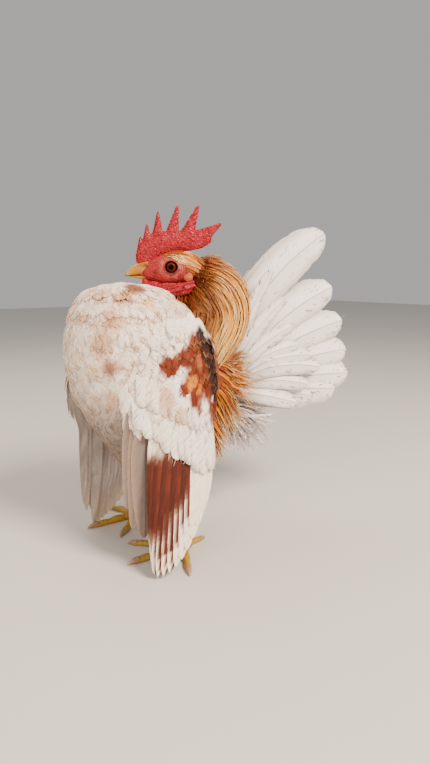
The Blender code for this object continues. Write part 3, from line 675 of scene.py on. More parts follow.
@dataclass
class Head:
    """The head's own axes, forward, left and up, and the skull's form."""

    at: tuple = (0, 19.3, 196.0)
    swing: float = math.radians(-35)
    stations: tuple = (
        # forward, up, half width, half height
        (-18.5, -1, 4, 5),
        (-15, 0, 8, 9),
        (-8, 0.2, 11, 11.6),
        (0, -0.5, 11.6, 12),
        (8, -1.5, 10, 10.4),
        (14, -2.2, 7.6, 8.2),
        (19, -2.8, 5.2, 6),
        (22, -3, 3.2, 3.8),
    )

    def __post_init__(self) -> None:
        """Works out the axes from the turn."""
        cos, sin = math.cos(self.swing), math.sin(self.swing)
        self.forward = np.array((sin, -cos, 0.0))
        self.left = np.array((cos, sin, 0.0))

    def place(self, local: Array) -> Array:
        """Points of the stance's frame from points in the head's axes."""
        local = np.asarray(local, float)
        return self.at + self.turn(local)

    def turn(self, local: Array) -> Array:
        """Directions from directions in the head's axes."""
        local = np.asarray(local, float)
        return local[..., :1] * self.forward + local[..., 1:2] * self.left + local[..., 2:] * UP

    def local(self, points: Array) -> Array:
        """Points in the head's axes from points of the stance's frame."""
        offset = points - self.at
        return np.stack([offset @ self.forward, offset @ self.left, offset[..., 2]], -1)

    def skull(self, grow: float = 0.0) -> bpy.types.Object:
        """The skull as a closed body."""
        places = np.linspace(-18.5, 22, 19)
        up, wide, high = np.moveaxis(curve(places, self.stations), -1, 0)
        centres = self.place(np.stack([places, 0 * places, up], -1))
        sizes = np.stack([wide, high], -1) + grow
        return loft("skull", ellipses(centres, self.left[None], UP[None], sizes, 28))


@dataclass
class Wing:
    """The sheet that a wing's feathers lie on."""

    side: Side
    height: float = 112.0
    sheets: tuple = ((44.0, 0.15, 0.00035), (47.0, 0.09, -0.00155))
    pull: tuple = (0.0, -11.0)
    arm: tuple = (
        # height, middle y, half length, half thickness
        (86, -7, 20, 2.4),
        (92, -8, 26, 4.6),
        (104, -9, 29, 6.0),
        (122, -7, 31, 6.2),
        (138, -4, 29, 6.0),
        (150, -1, 25, 5.0),
        (160, 1, 17, 3.4),
        (166, 2, 8, 1.6),
    )

    def __post_init__(self) -> None:
        """Picks the numbers of its side's sheet."""
        self.base, self.slope, self.bend = self.sheets[self.side is Side.RIGHT]

    def lay(self, y: Array) -> Array:
        """How far out feathers rooted at y lie."""
        return 0.19 * (y + 20)

    def point(self, y: Array, height: Array, out: Array | float, flare: Array | float = 1.0) -> Array:
        """Points off the sheet.

        Args:
            y: place along the body.
            height: above the floor.
            out: distance off the sheet.
            flare: how much of the sheet's spread below HEIGHT is used.

        Returns:
            The points.
        """
        fall = self.height - height
        spread = (self.slope * fall + self.bend * fall * fall) * np.where(fall > 0, flare, 1.0)
        x = self.base + spread - 4.0 * ((y + 2) / 30) ** 2
        pulled = y + self.pull[self.side is Side.RIGHT] * ramp(height, 75, 110)
        return np.stack([self.side.value * (x + out), pulled, height + 0 * y], -1)

    def arm_out(self, y: Array, height: Array) -> Array:
        """How far the arm's outer face stands off the sheet."""
        middle, half, thick = np.moveaxis(curve(height, self.arm), -1, 0)
        share = np.clip((y - middle) / half, -1, 1)
        return self.lay(y) - 1.5 + thick * np.sqrt(1 - share**2)

    def normal(self, y: Array, height: Array, out: Callable[[Array, Array], Array]) -> Array:
        """Outward unit vectors of the sheet raised by out."""
        step = 0.8
        along = self.point(y, height + step, out(y, height + step)) - self.point(y, height - step, out(y, height - step))
        beside = self.point(y + step, height, out(y + step, height)) - self.point(y - step, height, out(y - step, height))
        return unit(np.cross(beside, along)) * self.side.value


@dataclass
class Tail:
    """The plane that the tail's feathers stand in, swung a little to the bird's left."""

    root: tuple = (5.0, 60.0, 104.0)
    swing: float = math.radians(15)

    def __post_init__(self) -> None:
        """Works out the axes from the swing."""
        self.ahead = np.array((math.sin(self.swing), math.cos(self.swing), 0.0))
        self.left = np.array((math.cos(self.swing), -math.sin(self.swing), 0.0))

    def point(self, along: Array, up: Array, aside: Array) -> Array:
        """Points by distance along the tail, height over its root, and distance to the left."""
        return (
            self.root
            + np.asarray(along)[..., None] * self.ahead
            + np.asarray(up)[..., None] * UP
            + np.asarray(aside)[..., None] * self.left
        )


# Node trees that set small bodies along paths and over surfaces


def realised(name: str, source: bpy.types.Object, tree: bpy.types.NodeTree, values: dict[str, object]) -> bpy.types.Object:
    """The plain mesh that a node tree makes of an object, as a new object.

    Args:
        name: the new object's name.
        source: what the tree works on.
        tree: a Geometry Nodes tree.
        values: its named inputs.

    Returns:
        The new object.
    """
    modifier = source.modifiers.new("scatter", "NODES")
    modifier.node_group = tree
    sockets = {item.name: item.identifier for item in tree.interface.items_tree if item.in_out == "INPUT"}
    for key, value in values.items():
        modifier[sockets[key]] = value
    source.update_tag()
    mesh = bpy.data.meshes.new_from_object(source.evaluated_get(bpy.context.evaluated_depsgraph_get()))
    source.modifiers.remove(modifier)
    mesh.name = name
    mesh.shade_smooth()
    item = bpy.data.objects.new(name, mesh)
    bpy.context.scene.collection.objects.link(item)
    return item


def scatter_tree(name: str, look: bpy.types.Material, seed: int, on_path: bool) -> bpy.types.NodeTree:
    """A tree that sets rounded bodies along edge paths, or as beads over faces.

    Its inputs are Pitch, the space between bodies, and Size, a factor on the reach attribute. Along paths the
    bodies are rings of the path's thickness; over faces they are beads where reach is above 0.

    Args:
        name: the tree's name.
        look: the bodies' material.
        seed: of their random sizes and places.
        on_path: True for paths, False for faces.

    Returns:
        The tree.
    """
    tree = bpy.data.node_groups.new(name, "GeometryNodeTree")
    tree.interface.new_socket("Geometry", in_out="INPUT", socket_type="NodeSocketGeometry")
    for word in ("Pitch", "Size"):
        tree.interface.new_socket(word, in_out="INPUT", socket_type="NodeSocketFloat")
    tree.interface.new_socket("Geometry", in_out="OUTPUT", socket_type="NodeSocketGeometry")
    given = tree.nodes.new("NodeGroupInput").outputs
    reach = add(tree, "GeometryNodeInputNamedAttribute", {0: "reach"}, data_type="FLOAT").outputs[0]
    vary = add(tree, "FunctionNodeRandomValue", {2: 0.88, 3: 1.1, 8: seed}, data_type="FLOAT").outputs[1]
    if on_path:
        lines = add(tree, "GeometryNodeMeshToCurve", {0: given["Geometry"]})
        points = add(tree, "GeometryNodeResampleCurve", {"Curve": lines.outputs[0], "Length": given["Pitch"]}, mode="LENGTH")
        tangent = add(tree, "GeometryNodeInputTangent")
        turn = add(tree, "FunctionNodeAlignRotationToVector", {"Vector": tangent.outputs[0]}, axis="Z")
        wide = add(tree, "ShaderNodeMath", {0: reach, 1: given["Size"]}, operation="MULTIPLY")
        long = add(tree, "ShaderNodeMath", {0: given["Pitch"], 1: vary}, operation="MULTIPLY")
        long = add(tree, "ShaderNodeMath", {0: long.outputs[0], 1: 0.74}, operation="MULTIPLY")
        scale = add(tree, "ShaderNodeCombineXYZ", {0: wide.outputs[0], 1: wide.outputs[0], 2: long.outputs[0]})
        body = add(tree, "GeometryNodeMeshUVSphere", {"Segments": 10, "Rings": 5, "Radius": 1.0})
        links = {"Points": points.outputs[0], "Rotation": turn.outputs[0], "Scale": scale.outputs[0]}
    else:
        places = {"Mesh": given["Geometry"], "Distance Min": given["Pitch"], "Density Max": 4e6, "Density Factor": reach, "Seed": seed}
        points = add(tree, "GeometryNodeDistributePointsOnFaces", places, distribute_method="POISSON")
        size = add(tree, "ShaderNodeMath", {0: vary, 1: given["Size"]}, operation="MULTIPLY")
        body = add(tree, "GeometryNodeMeshIcoSphere", {"Radius": 1.0, "Subdivisions": 1})
        links = {"Points": points.outputs[0], "Rotation": points.outputs["Rotation"], "Scale": size.outputs[0]}
    set_on = add(tree, "GeometryNodeInstanceOnPoints", {**links, "Instance": body.outputs[0]})
    plain = add(tree, "GeometryNodeRealizeInstances", {0: set_on.outputs[0]})
    dressed = add(tree, "GeometryNodeSetMaterial", {0: plain.outputs[0], "Material": look})
    add(tree, "NodeGroupOutput", {0: dressed.outputs[0]})
    return tree


def rings_along(name: str, lines: Sequence[tuple[Array, Array]], look: bpy.types.Material, pitch: float, size: float) -> bpy.types.Object:
    """Ring-shaped scales along paths, each a line of points with the radius at each."""
    points = np.concatenate([line for line, _ in lines])
    edges, first = [], 0
    for line, _ in lines:
        edges += [(first + i, first + i + 1) for i in range(len(line) - 1)]
        first += len(line)
    mesh = bpy.data.meshes.new("paths")
    mesh.from_pydata(((points + STANCE) * MM).tolist(), edges, [])
    radii = np.concatenate([radius for _, radius in lines]) * MM
    mesh.attributes.new("reach", "FLOAT", "POINT").data.foreach_set("value", radii.astype(np.float32))
    source = bpy.data.objects.new("paths", mesh)
    bpy.context.scene.collection.objects.link(source)
    item = realised(name, source, scatter_tree("rings_on_paths", look, 5, True), {"Pitch": pitch * MM, "Size": size})
    drop([source])
    return item


def beads_over(name: str, body: bpy.types.Object, share: Array, look: bpy.types.Material, pitch: float, size: float) -> bpy.types.Object:
    """Beads over the parts of a body where share is above 0, pitch apart and size in radius."""
    reach = body.data.attributes.new("reach", "FLOAT", "POINT")
    reach.data.foreach_set("value", np.asarray(share, np.float32))
    item = realised(name, body, scatter_tree("beads_on_faces", look, 6, False), {"Pitch": pitch * MM, "Size": size * MM})
    body.data.attributes.remove(body.data.attributes["reach"])
    return item


# Feathers

# Corners round a vane: place across from -1 to 1, and height in parts of the thickness.
PLAIN_SECTION = ((-1, 0), (-0.8, 0.4), (-0.3, 0.5), (0.3, 0.5), (0.8, 0.4), (1, 0), (0.5, -0.5), (-0.5, -0.5))
BARB_SECTION = ((-1, -0.5), (0, 1), (1, -0.5))
QUILL_SECTION = (
    ((-1, 0), (-0.55, 0.5), (-0.06, 0.5), (0, 0.5), (0.06, 0.5), (0.55, 0.5), (1, 0), (0.6, -0.5), (0, -0.5), (-0.6, -0.5))
)
BARB_SWEEP = 1.1

# Half widths along feathers of several kinds, as shares of their greatest.
ROUND_VANE = ((0, 0.35), (0.2, 0.72), (0.5, 1), (0.72, 0.96), (0.88, 0.7), (0.96, 0.4), (1, 0.12))
POINT_VANE = ((0, 0.4), (0.25, 0.85), (0.5, 1), (0.7, 0.84), (0.85, 0.56), (0.95, 0.26), (1, 0.06))
LANCE_VANE = ((0, 0.5), (0.3, 1), (0.6, 0.85), (0.85, 0.45), (1, 0.05))
BROAD_VANE = ((0, 0.12), (0.12, 0.66), (0.35, 0.96), (0.6, 1), (0.85, 0.97), (0.95, 0.74), (0.985, 0.47), (1, 0.15))
COVERT_VANE = ((0, 0.5), (0.3, 0.92), (0.6, 1), (0.84, 0.92), (0.94, 0.7), (0.985, 0.42), (1, 0.14))
FLIGHT_VANE = ((0, 0.3), (0.25, 0.9), (0.5, 1), (0.75, 0.8), (0.9, 0.55), (0.97, 0.34), (1, 0.1))


def steps(rows: int) -> Array:
    """Places of rings along a feather from 0 to 1, closer towards its tip."""
    return 1 - (1 - np.linspace(0, 1, rows)) ** 1.4


@dataclass
class Vanes:
    """Many like feathers: for each, rings along its middle line.

    middle and face are points and unit vectors by feather and ring, half is the half width there, and root is
    each feather's place on the unwrap.
    """

    middle: Array
    face: Array
    half: Array
    root: Array
    thick: float = 0.14
    camber: float = 0.09
    shaft: float = 0.1
    ragged: float = 0.1
    section: tuple = PLAIN_SECTION
    seed: int = 1

    def rings(self) -> tuple[Array, Array]:
        """Corner points, and the vane map in millimetres, by feather, ring and corner."""
        tangent = unit(np.gradient(self.middle, axis=1))
        face = unit(self.face - tangent * (self.face * tangent).sum(-1, keepdims=True))
        across = np.cross(tangent, face)
        rng = np.random.default_rng(self.seed)
        u, up = np.array(self.section, float).T
        rim = np.abs(u) == 1
        loose = rng.standard_normal((*self.half.shape, len(u))) * self.ragged * rim
        wide = self.half[..., None] * (u + loose * u)
        rise = up * self.thick + ((u == 0) & (up > 0)) * self.shaft - self.camber * u**2 * self.half[..., None]
        slip = rng.standard_normal(loose.shape) * self.ragged * rim * self.half[..., None] * 2
        points = self.middle[:, :, None] + across[:, :, None] * wide[..., None] + face[:, :, None] * rise[..., None]
        points = points + tangent[:, :, None] * slip[..., None]
        steps = np.linalg.norm(np.diff(self.middle, axis=1), axis=-1)
        along = np.concatenate([np.zeros((len(steps), 1)), np.cumsum(steps, 1)], 1) + rng.uniform(0, 400, (len(steps), 1))
        return points, np.stack([wide, along[..., None] - np.abs(wide) * BARB_SWEEP], -1)

    def cells(self) -> tuple[Array, Array]:
        """For colouring: across from -1 to 1 and along from 0 to 1, by feather, ring and corner."""
        shape = (*self.half.shape, len(self.section))
        v = steps(shape[1])[None, :, None]
        return np.broadcast_to(np.array(self.section, float)[:, 0], shape), np.broadcast_to(v, shape)

    def faces(self) -> Array:
        """Quads of the closed strips, four corner numbers to a face."""
        (count, rows), n = self.half.shape, len(self.section)
        row, k = np.meshgrid(np.arange(rows - 1), np.arange(n), indexing="ij")
        a, b = row * n + k, row * n + (k + 1) % n
        sides = np.stack([a, b, b + n, a + n], -1).reshape(-1, 4)
        fan = np.array([(n - 1, i + 2, i + 1, i) for i in range(0, n - 2, 2)])
        one = np.concatenate([sides, fan, fan[:, ::-1] + (rows - 1) * n])
        return (one[None] + np.arange(count)[:, None, None] * rows * n).reshape(-1, 4)


def coat(name: str, parts: Sequence[tuple[Vanes, Array]]) -> bpy.types.Object:
    """One piece from groups of feathers.

    Args:
        name: the piece's name.
        parts: groups with their colours by feather, ring and corner.

    Returns:
        The piece, with its tint, its vane map and its OFBake map.
    """
    points, faces, tints, vanes, bakes, first = [], [], [], [], [], 0
    for group, colours in parts:
        corners, along = group.rings()
        points.append(corners.reshape(-1, 3))
        faces.append(group.faces() + first)
        first += len(points[-1])
        tints.append(colours.reshape(-1, 3))
        vanes.append(along.reshape(-1, 2))
        u, v = group.cells()
        patch = np.stack([u * 0.5, v - 0.5], -1) * PATCH
        bakes.append((group.root[:, None, None] + patch).reshape(-1, 2))
    item = mesh_object(name, np.concatenate(points), np.concatenate(faces))
    item.data.set_sharp_from_angle(angle=math.radians(70))
    paint(item, np.concatenate(tints).clip(0, 1))
    lay_uv(item, "vane", np.concatenate(vanes))
    lay_uv(item, "OFBake", np.concatenate(bakes))
    return item


def laid(root: Array, normal: Array, way: Array, length: Array, rows: int, sink: Array, lift: Array, bend: Array) -> tuple[Array, Array]:
    """Middle lines of feathers that lie back over a surface.

    Args:
        root: where each grows.
        normal: the surface's outward direction there.
        way: the lie of the coat.
        length: how long each is.
        rows: rings along it.
        sink: height of its root off root.
        lift: height of its tip.
        bend: how far it curves towards the body, in radians.

    Returns:
        Points and face directions by feather and ring.
    """
    way = unit(way - normal * (way * normal).sum(-1, keepdims=True))
    v = steps(rows)[None]
    safe = np.where(np.abs(bend) < 1e-3, 1e-3, bend)[:, None]
    ahead = np.sin(safe * v) / safe * length[:, None]
    down = (1 - np.cos(safe * v)) / safe * length[:, None]
    rise = sink[:, None] + (lift - sink)[:, None] * (1 - (1 - v) ** 1.6)
    middle = root[:, None] + way[:, None] * ahead[..., None] + normal[:, None] * (rise - down)[..., None]
    turn = (safe * v)[..., None]
    return middle, normal[:, None] * np.cos(turn) + way[:, None] * np.sin(turn)


def quadratic(start: Array, bend: Array, end: Array, rows: int) -> Array:
    """Curves from each start to each end, pulled towards bend, by feather and ring."""
    v = steps(rows)[None, :, None]
    return start[:, None] * (1 - v) ** 2 + bend[:, None] * 2 * v * (1 - v) + end[:, None] * v * v


def outline(shape: Sequence[Sequence[float]], rows: int, half: Array) -> Array:
    """Half widths by feather and ring."""
    return half[:, None] * curve(steps(rows), shape)[None, :, 0]


# Markings

WHITE, CREAM, TAN, BROWN = (linear(code) for code in ("FFF7EE", "F6DDB8", "B87A48", "6E2C0E"))
RUST, DEEP_RUST, GOLD, STRAW = (linear(code) for code in ("6A2208", "380E04", "D88418", "FFE2A4"))
DUSK, TAUPE, SILVER, FLECK = (linear(code) for code in ("220C06", "7C6E66", "FAF5F3", "5A5254"))
FACE_RED, COMB_RED, LOBE_TAN = (linear(code) for code in ("AA2834", "B00418", "B45426"))


@dataclass(frozen=True)
class Mark:
    """A patch of colour on the plumage, an ellipsoid in millimetres with a ragged edge."""

    at: tuple[float, float, float]
    radii: tuple[float, float, float]
    colour: Array
    strength: float = 0.9
    soft: float = 0.15

    def over(self, colours: Array, points: Array) -> Array:
        """The colours with this patch laid over them."""
        far = np.linalg.norm((points - self.at) / self.radii, axis=-1)
        far = far + 0.16 * lump(points * (1, 1, 0.4), 2.6, sum(self.at))
        return mix(colours, self.colour, self.strength * (1 - ramp(far, 1 - self.soft, 1 + self.soft)))


BREAST_MARKS = (
    Mark((19, -20, 182), (9, 7, 5), BROWN, 0.8, 0.4),
    Mark((24, -31, 176), (5, 6, 8), TAN, 0.7, 0.5),
    Mark((12, -42, 178), (9, 6, 5), TAN, 0.5, 0.6),
    Mark((29, -42, 162), (5, 6, 9), TAN, 0.6, 0.5),
    Mark((26, -50, 148), (6, 7, 10), TAN, 0.6, 0.5),
    Mark((30, -45, 132), (6, 6, 5), BROWN, 0.7, 0.4),
    Mark((31, -17, 173), (6, 5, 4), GOLD, 0.4, 0.5),
    Mark((34, -34, 114), (4, 4, 12), TAN, 0.7, 0.5),
    Mark((37, -28, 104), (4, 3, 12), BROWN, 0.5, 0.5),
    Mark((27, -44, 108), (4, 4, 10), TAN, 0.5, 0.5),
)
WING_MARKS = tuple(
    Mark((46, y, z), (18, wide, high), colour, strength)
    for y, z, wide, high, colour, strength in (
        # on the left wing from its side: place, half sizes, colour and strength
        (25, 112, 5, 34, RUST, 0.9),
        (28, 160, 9.5, 20, RUST, 1),
        (-11.1, 132.7, 6.4, 6.8, RUST, 1),
        (7.3, 144.4, 5.6, 8.5, RUST, 1),
        (-0.4, 137.5, 6.5, 6.4, RUST, 1),
        (9.1, 131.4, 8.4, 11.5, RUST, 1),
        (12.3, 117.1, 7.0, 12, RUST, 1),
        (5.3, 121.3, 7.4, 9.2, RUST, 1),
        (-2.1, 116.9, 4.6, 5.6, RUST, 1),
        (4.2, 108.8, 3.6, 6, RUST, 1),
        (3.2, 122.2, 4.6, 4.2, GOLD, 0.9),
        (8.5, 115.0, 2.6, 5, GOLD, 0.85),
        (0.8, 116.9, 2, 3, GOLD, 0.8),
        (9.5, 134, 1.8, 5, TAN, 0.5),
        (12.9, 149.5, 3.6, 6, DUSK, 1),
        (16.8, 141.2, 5.0, 8.5, DUSK, 1),
        (19.8, 130.4, 4.6, 10, DUSK, 1),
        (21.9, 118.4, 4.2, 11.5, DUSK, 1),
        (22.5, 107.1, 3.2, 8.5, DUSK, 1),
        (16.1, 101.0, 3.4, 8.2, RUST, 0.9),
        (-14.4, 109.5, 4.4, 9, TAN, 0.5),
        (-5.6, 100.5, 5, 6.5, TAN, 0.5),
        (7.0, 102.4, 2.1, 4, BROWN, 0.9),
        (22.2, 97.2, 3.4, 9, RUST, 0.9),
    )
)


def body_ground(points: Array) -> Array:
    """Colours of the body plumage at points: warm white, greyer below as painted shade of the underside, with tan and
    brown patches.
    """
    colours = mix(WHITE, CREAM, 0.25 + 0.5 * lump(points, 14.0, 6.0))
    # faint taupe mottling, deepened from 130 mm down to 70 mm as painted shade of the underside
    colours = mix(colours, TAUPE, 0.8 * (1 - ramp(points[..., 2], 70, 130)) + 0.06 + 0.1 * lump(points, 7.0, 2.0))
    for mark in BREAST_MARKS:
        colours = mark.over(colours, points)
    return mix(colours, RUST, 0.9 * ramp(points[..., 1], 24, 34) * ramp(points[..., 2], 92, 110))


def wing_ground(points: Array) -> Array:
    """Colours of the wings' small feathers, the right wing's as the left one's."""
    mirrored = np.stack([np.abs(points[..., 0]), points[..., 1], points[..., 2]], -1)
    colours = mix(WHITE, TAUPE, 0.02 + 0.08 * lump(points, 9.0, 3.0))
    for mark in WING_MARKS:
        colours = mark.over(colours, mirrored)
    return colours


def neck_ground(share: Array, angle: Array, points: Array) -> Array:
    """Colours of the neck's plumage: rust under the head and in front, gold and straw further back."""
    front = ramp(np.abs(angle), 1.5, 2.4)
    colours = mix(RUST, GOLD, 0.3 + 0.7 * ramp(share + 0.12 * lump(points, 8.0, 1.0), 0.02, 0.24))
    return mix(colours, DEEP_RUST, 0.6 * front)


@dataclass(frozen=True)
class Pattern:
    """How colour runs within feathers of one kind.

    rim is the colour of the fringe and rim_share its strength; tip and tip_share colour the last part, from
    tip_from; stripe colours the middle along the shaft.
    """

    rim: Array
    rim_share: float = 0.0
    tip: Array | None = None
    tip_share: float = 0.0
    tip_from: float = 0.6
    stripe: Array | None = None
    stripe_share: float = 0.0
    vary: float = 0.05

    def paint(self, ground: Array, u: Array, v: Array, seed: int) -> Array:
        """Colours by feather, ring and corner.

        Args:
            ground: a colour for each feather, or for each corner.
            u: place across, from -1 to 1.
            v: place along, from 0 to 1.
            seed: of the differences between feathers.

        Returns:
            Linear colours.
        """
        rng = np.random.default_rng(seed)
        colours = ground if ground.ndim == 4 else np.broadcast_to(ground[:, None, None, :], (*u.shape, 3))
        own = rng.uniform(0, 1, (len(ground), 1, 1))
        if self.tip is not None:
            colours = mix(colours, self.tip, self.tip_share * (0.6 + 0.4 * own) * ramp(v, self.tip_from, 1.0))
        if self.stripe is not None:
            colours = mix(colours, self.stripe, self.stripe_share * own * (np.abs(u) < 0.3) * ramp(v, 0.15, 0.5))
        edge = ramp(v + 0.3 * np.abs(u) ** 2, 0.84, 1.1)
        colours = mix(colours, self.rim, self.rim_share * own**2 * edge)
        return colours * (1 + self.vary * rng.standard_normal((len(ground), 1, 1, 1)))


def marked(vanes: Vanes, ground: Field, own: float = 0.25) -> Array:
    """Ground colours at the corners of feathers, drawn by the share own towards each feather's middle."""
    points = vanes.rings()[0]
    middle = vanes.middle[:, (vanes.middle.shape[1] * 2) // 3, None, None]
    return ground(points * (1 - own) + middle * own)


def fringe(group: Vanes, colours: Array, each: int, reach: float, seed: int, spot: Array | None = None) -> tuple[Vanes, Array]:
    """Loose barbs that stand out of the margins of feathers.

    Args:
        group: the feathers.
        colours: theirs, by feather, ring and corner.
        each: barbs to a feather.
        reach: their mean length.
        seed: of where they grow.
        spot: a colour of their own, which makes them short marks on the vane instead.

    Returns:
        The barbs and their colours.
    """
    rng = np.random.default_rng(seed)
    count, rows = group.half.shape
    pick = np.repeat(np.arange(count), each)
    ring = rng.integers(rows // 3, rows - 1, len(pick))
    side = rng.choice((-1.0, 1.0), (len(pick), 1))
    tangent = unit(np.gradient(group.middle, axis=1))[pick, ring]
    face = group.face[pick, ring]
    face = unit(face - tangent * (face * tangent).sum(-1, keepdims=True))
    across = np.cross(tangent, face) * side
    start = group.middle[pick, ring] + across * group.half[pick, ring][:, None] * (0.5 if spot is None else rng.uniform(0.1, 0.7, (len(pick), 1))) + face * group.thick * 0.4
    length = reach * rng.uniform(0.5, 1.4, (len(pick), 1))
    end = start + unit(tangent + across * rng.uniform(0.15, 0.8, (len(pick), 1))) * length - face * 0.05 * length
    middle = quadratic(start, (start + end) / 2 + face * 0.08 * length, end, 3)
    half = np.array((0.6, 1.0, 0.15)) * rng.uniform(0.1, 0.2, (len(pick), 1)) * (1 if spot is None else 1.6)
    barbs = Vanes(middle, np.repeat(face[:, None], 3, 1), half, group.root[pick], 0.1, section=BARB_SECTION, seed=seed)
    tone = colours[pick, ring, len(group.section) // 3] * rng.uniform(0.8, 1.1, (len(pick), 1))
    tone = mix(tone, TAN, 0.6 * (rng.uniform(size=len(pick)) < 0.3)) if spot is None else tone * 0.2 + spot * 0.8
    return barbs, np.broadcast_to(tone[:, None, None], (*barbs.half.shape, len(BARB_SECTION), 3))
# Pieces


@dataclass
class Cover:
    """What is taken up by other parts, where no small feathers grow."""

    torso: Torso
    neck: Neck
    wings: tuple[Wing, Wing]

    def under_neck(self, points: Array) -> Array:
        """True where points lie inside the neck."""
        shares = np.linspace(0, 1, 24)
        stations = curve(shares, self.neck.stations)
        away = np.linalg.norm(points[:, None] - stations[None, :, :3], axis=-1)
        return (away < 0.6 * stations[None, :, 3]).any(1)

    def under_wing(self, points: Array) -> Array:
        """True where a wing's arm lies against the body."""
        middle, half, _ = np.moveaxis(curve(points[:, 2], Wing.arm), -1, 0)
        near = np.abs(points[:, 1] - middle) < 0.55 * half
        return near & (np.abs(points[:, 0]) > 22) & (points[:, 2] > 93) & (points[:, 2] < 158)

    def under_tail(self, points: Array) -> Array:
        """True inside the tail's root."""
        return (points[:, 1] > 41) & (np.abs(points[:, 0]) < 9) & (np.abs(points[:, 2] - 104) < 13)


# Share down the drumstick, and the x, y, z and radius there.
THIGH = ((0, 22, -2, 70, 17), (0.4, 26, 3, 56, 13), (0.8, 30, 10, 46, 8), (1, 31, 13, 40.5, 4.6))


@dataclass
class Hide:
    """The bird's one skin: trunk, neck, head, thighs and upper wings, depth under the plumage's surface."""

    torso: Torso
    neck: Neck
    head: Head
    wings: Sequence[Wing]
    depth: float = 3.2

    def trunk(self) -> bpy.types.Object:
        """The breast, back and belly."""
        levels = np.linspace(self.torso.foot + 0.6, self.torso.top - 0.4, 48)
        angle = np.linspace(0, 2 * np.pi, 64, endpoint=False)
        rings = self.torso.point(angle[None, :], levels[:, None], -self.depth)
        rings[..., 2] = rings[..., 2].clip(self.torso.foot + self.depth, self.torso.top - self.depth)
        return loft("trunk", rings)

    def throat(self) -> bpy.types.Object:
        """The neck."""
        angle = np.linspace(0, 2 * np.pi, 40, endpoint=False)
        shares = np.linspace(0, 1, 26)
        return loft("throat", self.neck.point(angle[None, :], shares[:, None], -2.6))

    def thigh(self, side: Side) -> bpy.types.Object:
        """The drumstick down to the hock."""
        values = curve(np.linspace(0, 1, 12), THIGH)
        path = values[:, :3] * np.array((side.value, 1, 1))
        sizes = np.repeat(values[:, 3:] - 2.4 * ramp(values[:, 2:3], 40, 48), 2, 1)
        return path_tube("thigh", path, sizes, 24, np.array((1.0, 0, 0)))

    def arm(self, wing: Wing) -> bpy.types.Object:
        """The upper arm and shoulder."""
        levels = np.linspace(88, 163, 20)
        turn = np.linspace(0, 2 * np.pi, 32, endpoint=False)
        middle, half, thick = np.moveaxis(curve(levels, Wing.arm)[:, None], -1, 0)
        y = middle + np.maximum(half - 2.2, 1) * np.cos(turn)
        inner = 3.0 if wing.side is Side.LEFT else 9.0
        deep = np.where(np.sin(turn) > 0, np.maximum(thick - 2.2, 0.4), thick + inner)
        out = wing.lay(y) - 1.5 + deep * np.sin(turn)
        return loft("arm", wing.point(y, levels[:, None] + 0 * y, out))

    def build(self, ground: bpy.types.Material, face: bpy.types.Material, bead: bpy.types.Material) -> bpy.types.Object:
        """The dressed skin."""
        bodies = [self.trunk(), self.throat(), self.head.skull(0.0)]
        bodies += [self.thigh(side) for side in Side] + [self.arm(wing) for wing in self.wings]
        skin = fused("skin", bodies, 1.3, 3)
        self.refine(skin)
        self.refine(skin)
        local = self.head.local(points_of(skin))
        set_points(skin, self.head.place(self.shaped(local)))
        self.colour(skin)
        self.papillae(skin, bead)
        dress(skin, [ground, face], "body_white", "torso", "neck", "head", "thigh_left", "thigh_right")
        return skin

    def papillae(self, skin: bpy.types.Object, bead: bpy.types.Material) -> None:
        """Beads on the bare face, tinted pale as painted highlight."""
        local = self.head.local(points_of(skin))
        r = np.hypot(local[:, 0], local[:, 2])
        share = (self.face_share(local) > 0.7) * (r > 5.4) * (np.abs(local[:, 1]) > 3.5)
        item = beads_over("face_beads", skin, share, bead, 1.05, 0.33)
        # painted highlight: the beads are tinted towards cream
        paint(item, mix(FACE_RED, CREAM, 0.3 + 0.3 * lump(points_of(item), 3.0)))
        dress(item, bead, "face_red")

    def refine(self, skin: bpy.types.Object) -> None:
        """Halves the edges of the face, for its folds."""
        local = self.head.local(points_of(skin))
        near = (local[:, 0] > -13) & (local[:, 2] > -14) & (np.linalg.norm(local, axis=1) < 25)
        body = bmesh.new()
        body.from_mesh(skin.data)
        body.verts.ensure_lookup_table()
        edges = [edge for edge in body.edges if near[edge.verts[0].index] and near[edge.verts[1].index]]
        bmesh.ops.subdivide_edges(body, edges=edges, cuts=1, use_grid_fill=True)
        body.to_mesh(skin.data)
        body.free()
        skin.data.shade_smooth()

    def shaped(self, local: Array) -> Array:
        """The head's skin with its eye sockets, lids and the folds round them, in the head's axes."""
        local = local.copy()
        for side in Side:
            out = local[:, 1] * side.value
            r = np.hypot(local[:, 0] / 1.06, local[:, 2]) + 0.25 * lump(local, 5.0, side.value)
            here = (out > 3.5) & (r < 12)
            socket = 1 - ramp(r, 3.3, 4.1)
            lid = 1.2 * np.exp(-(((r - 4.5) / 0.6) ** 2))
            folds = 0.3 * np.cos(2 * np.pi * (r - 4.5) / 1.25) * ramp(r, 5.6, 6.3) * (1 - ramp(r, 8.5, 11))
            shaped = (out + lid + folds) * (1 - socket) + 7.6 * socket
            local[here, 1] = (shaped * side.value)[here]
        return local

    def face_share(self, local: Array) -> Array:
        """1 on bare skin and 0 under feathers."""
        far = np.hypot((local[:, 0] - 5.5) / 17.5, (local[:, 2] + 2.5) / 11.5) + 0.05 * lump(local, 5.0)
        crown = ramp(local[:, 2] - 0.4 * local[:, 0], 4.0, 6.0)
        return (1 - ramp(far, 0.92, 1.0)) * (1 - crown)

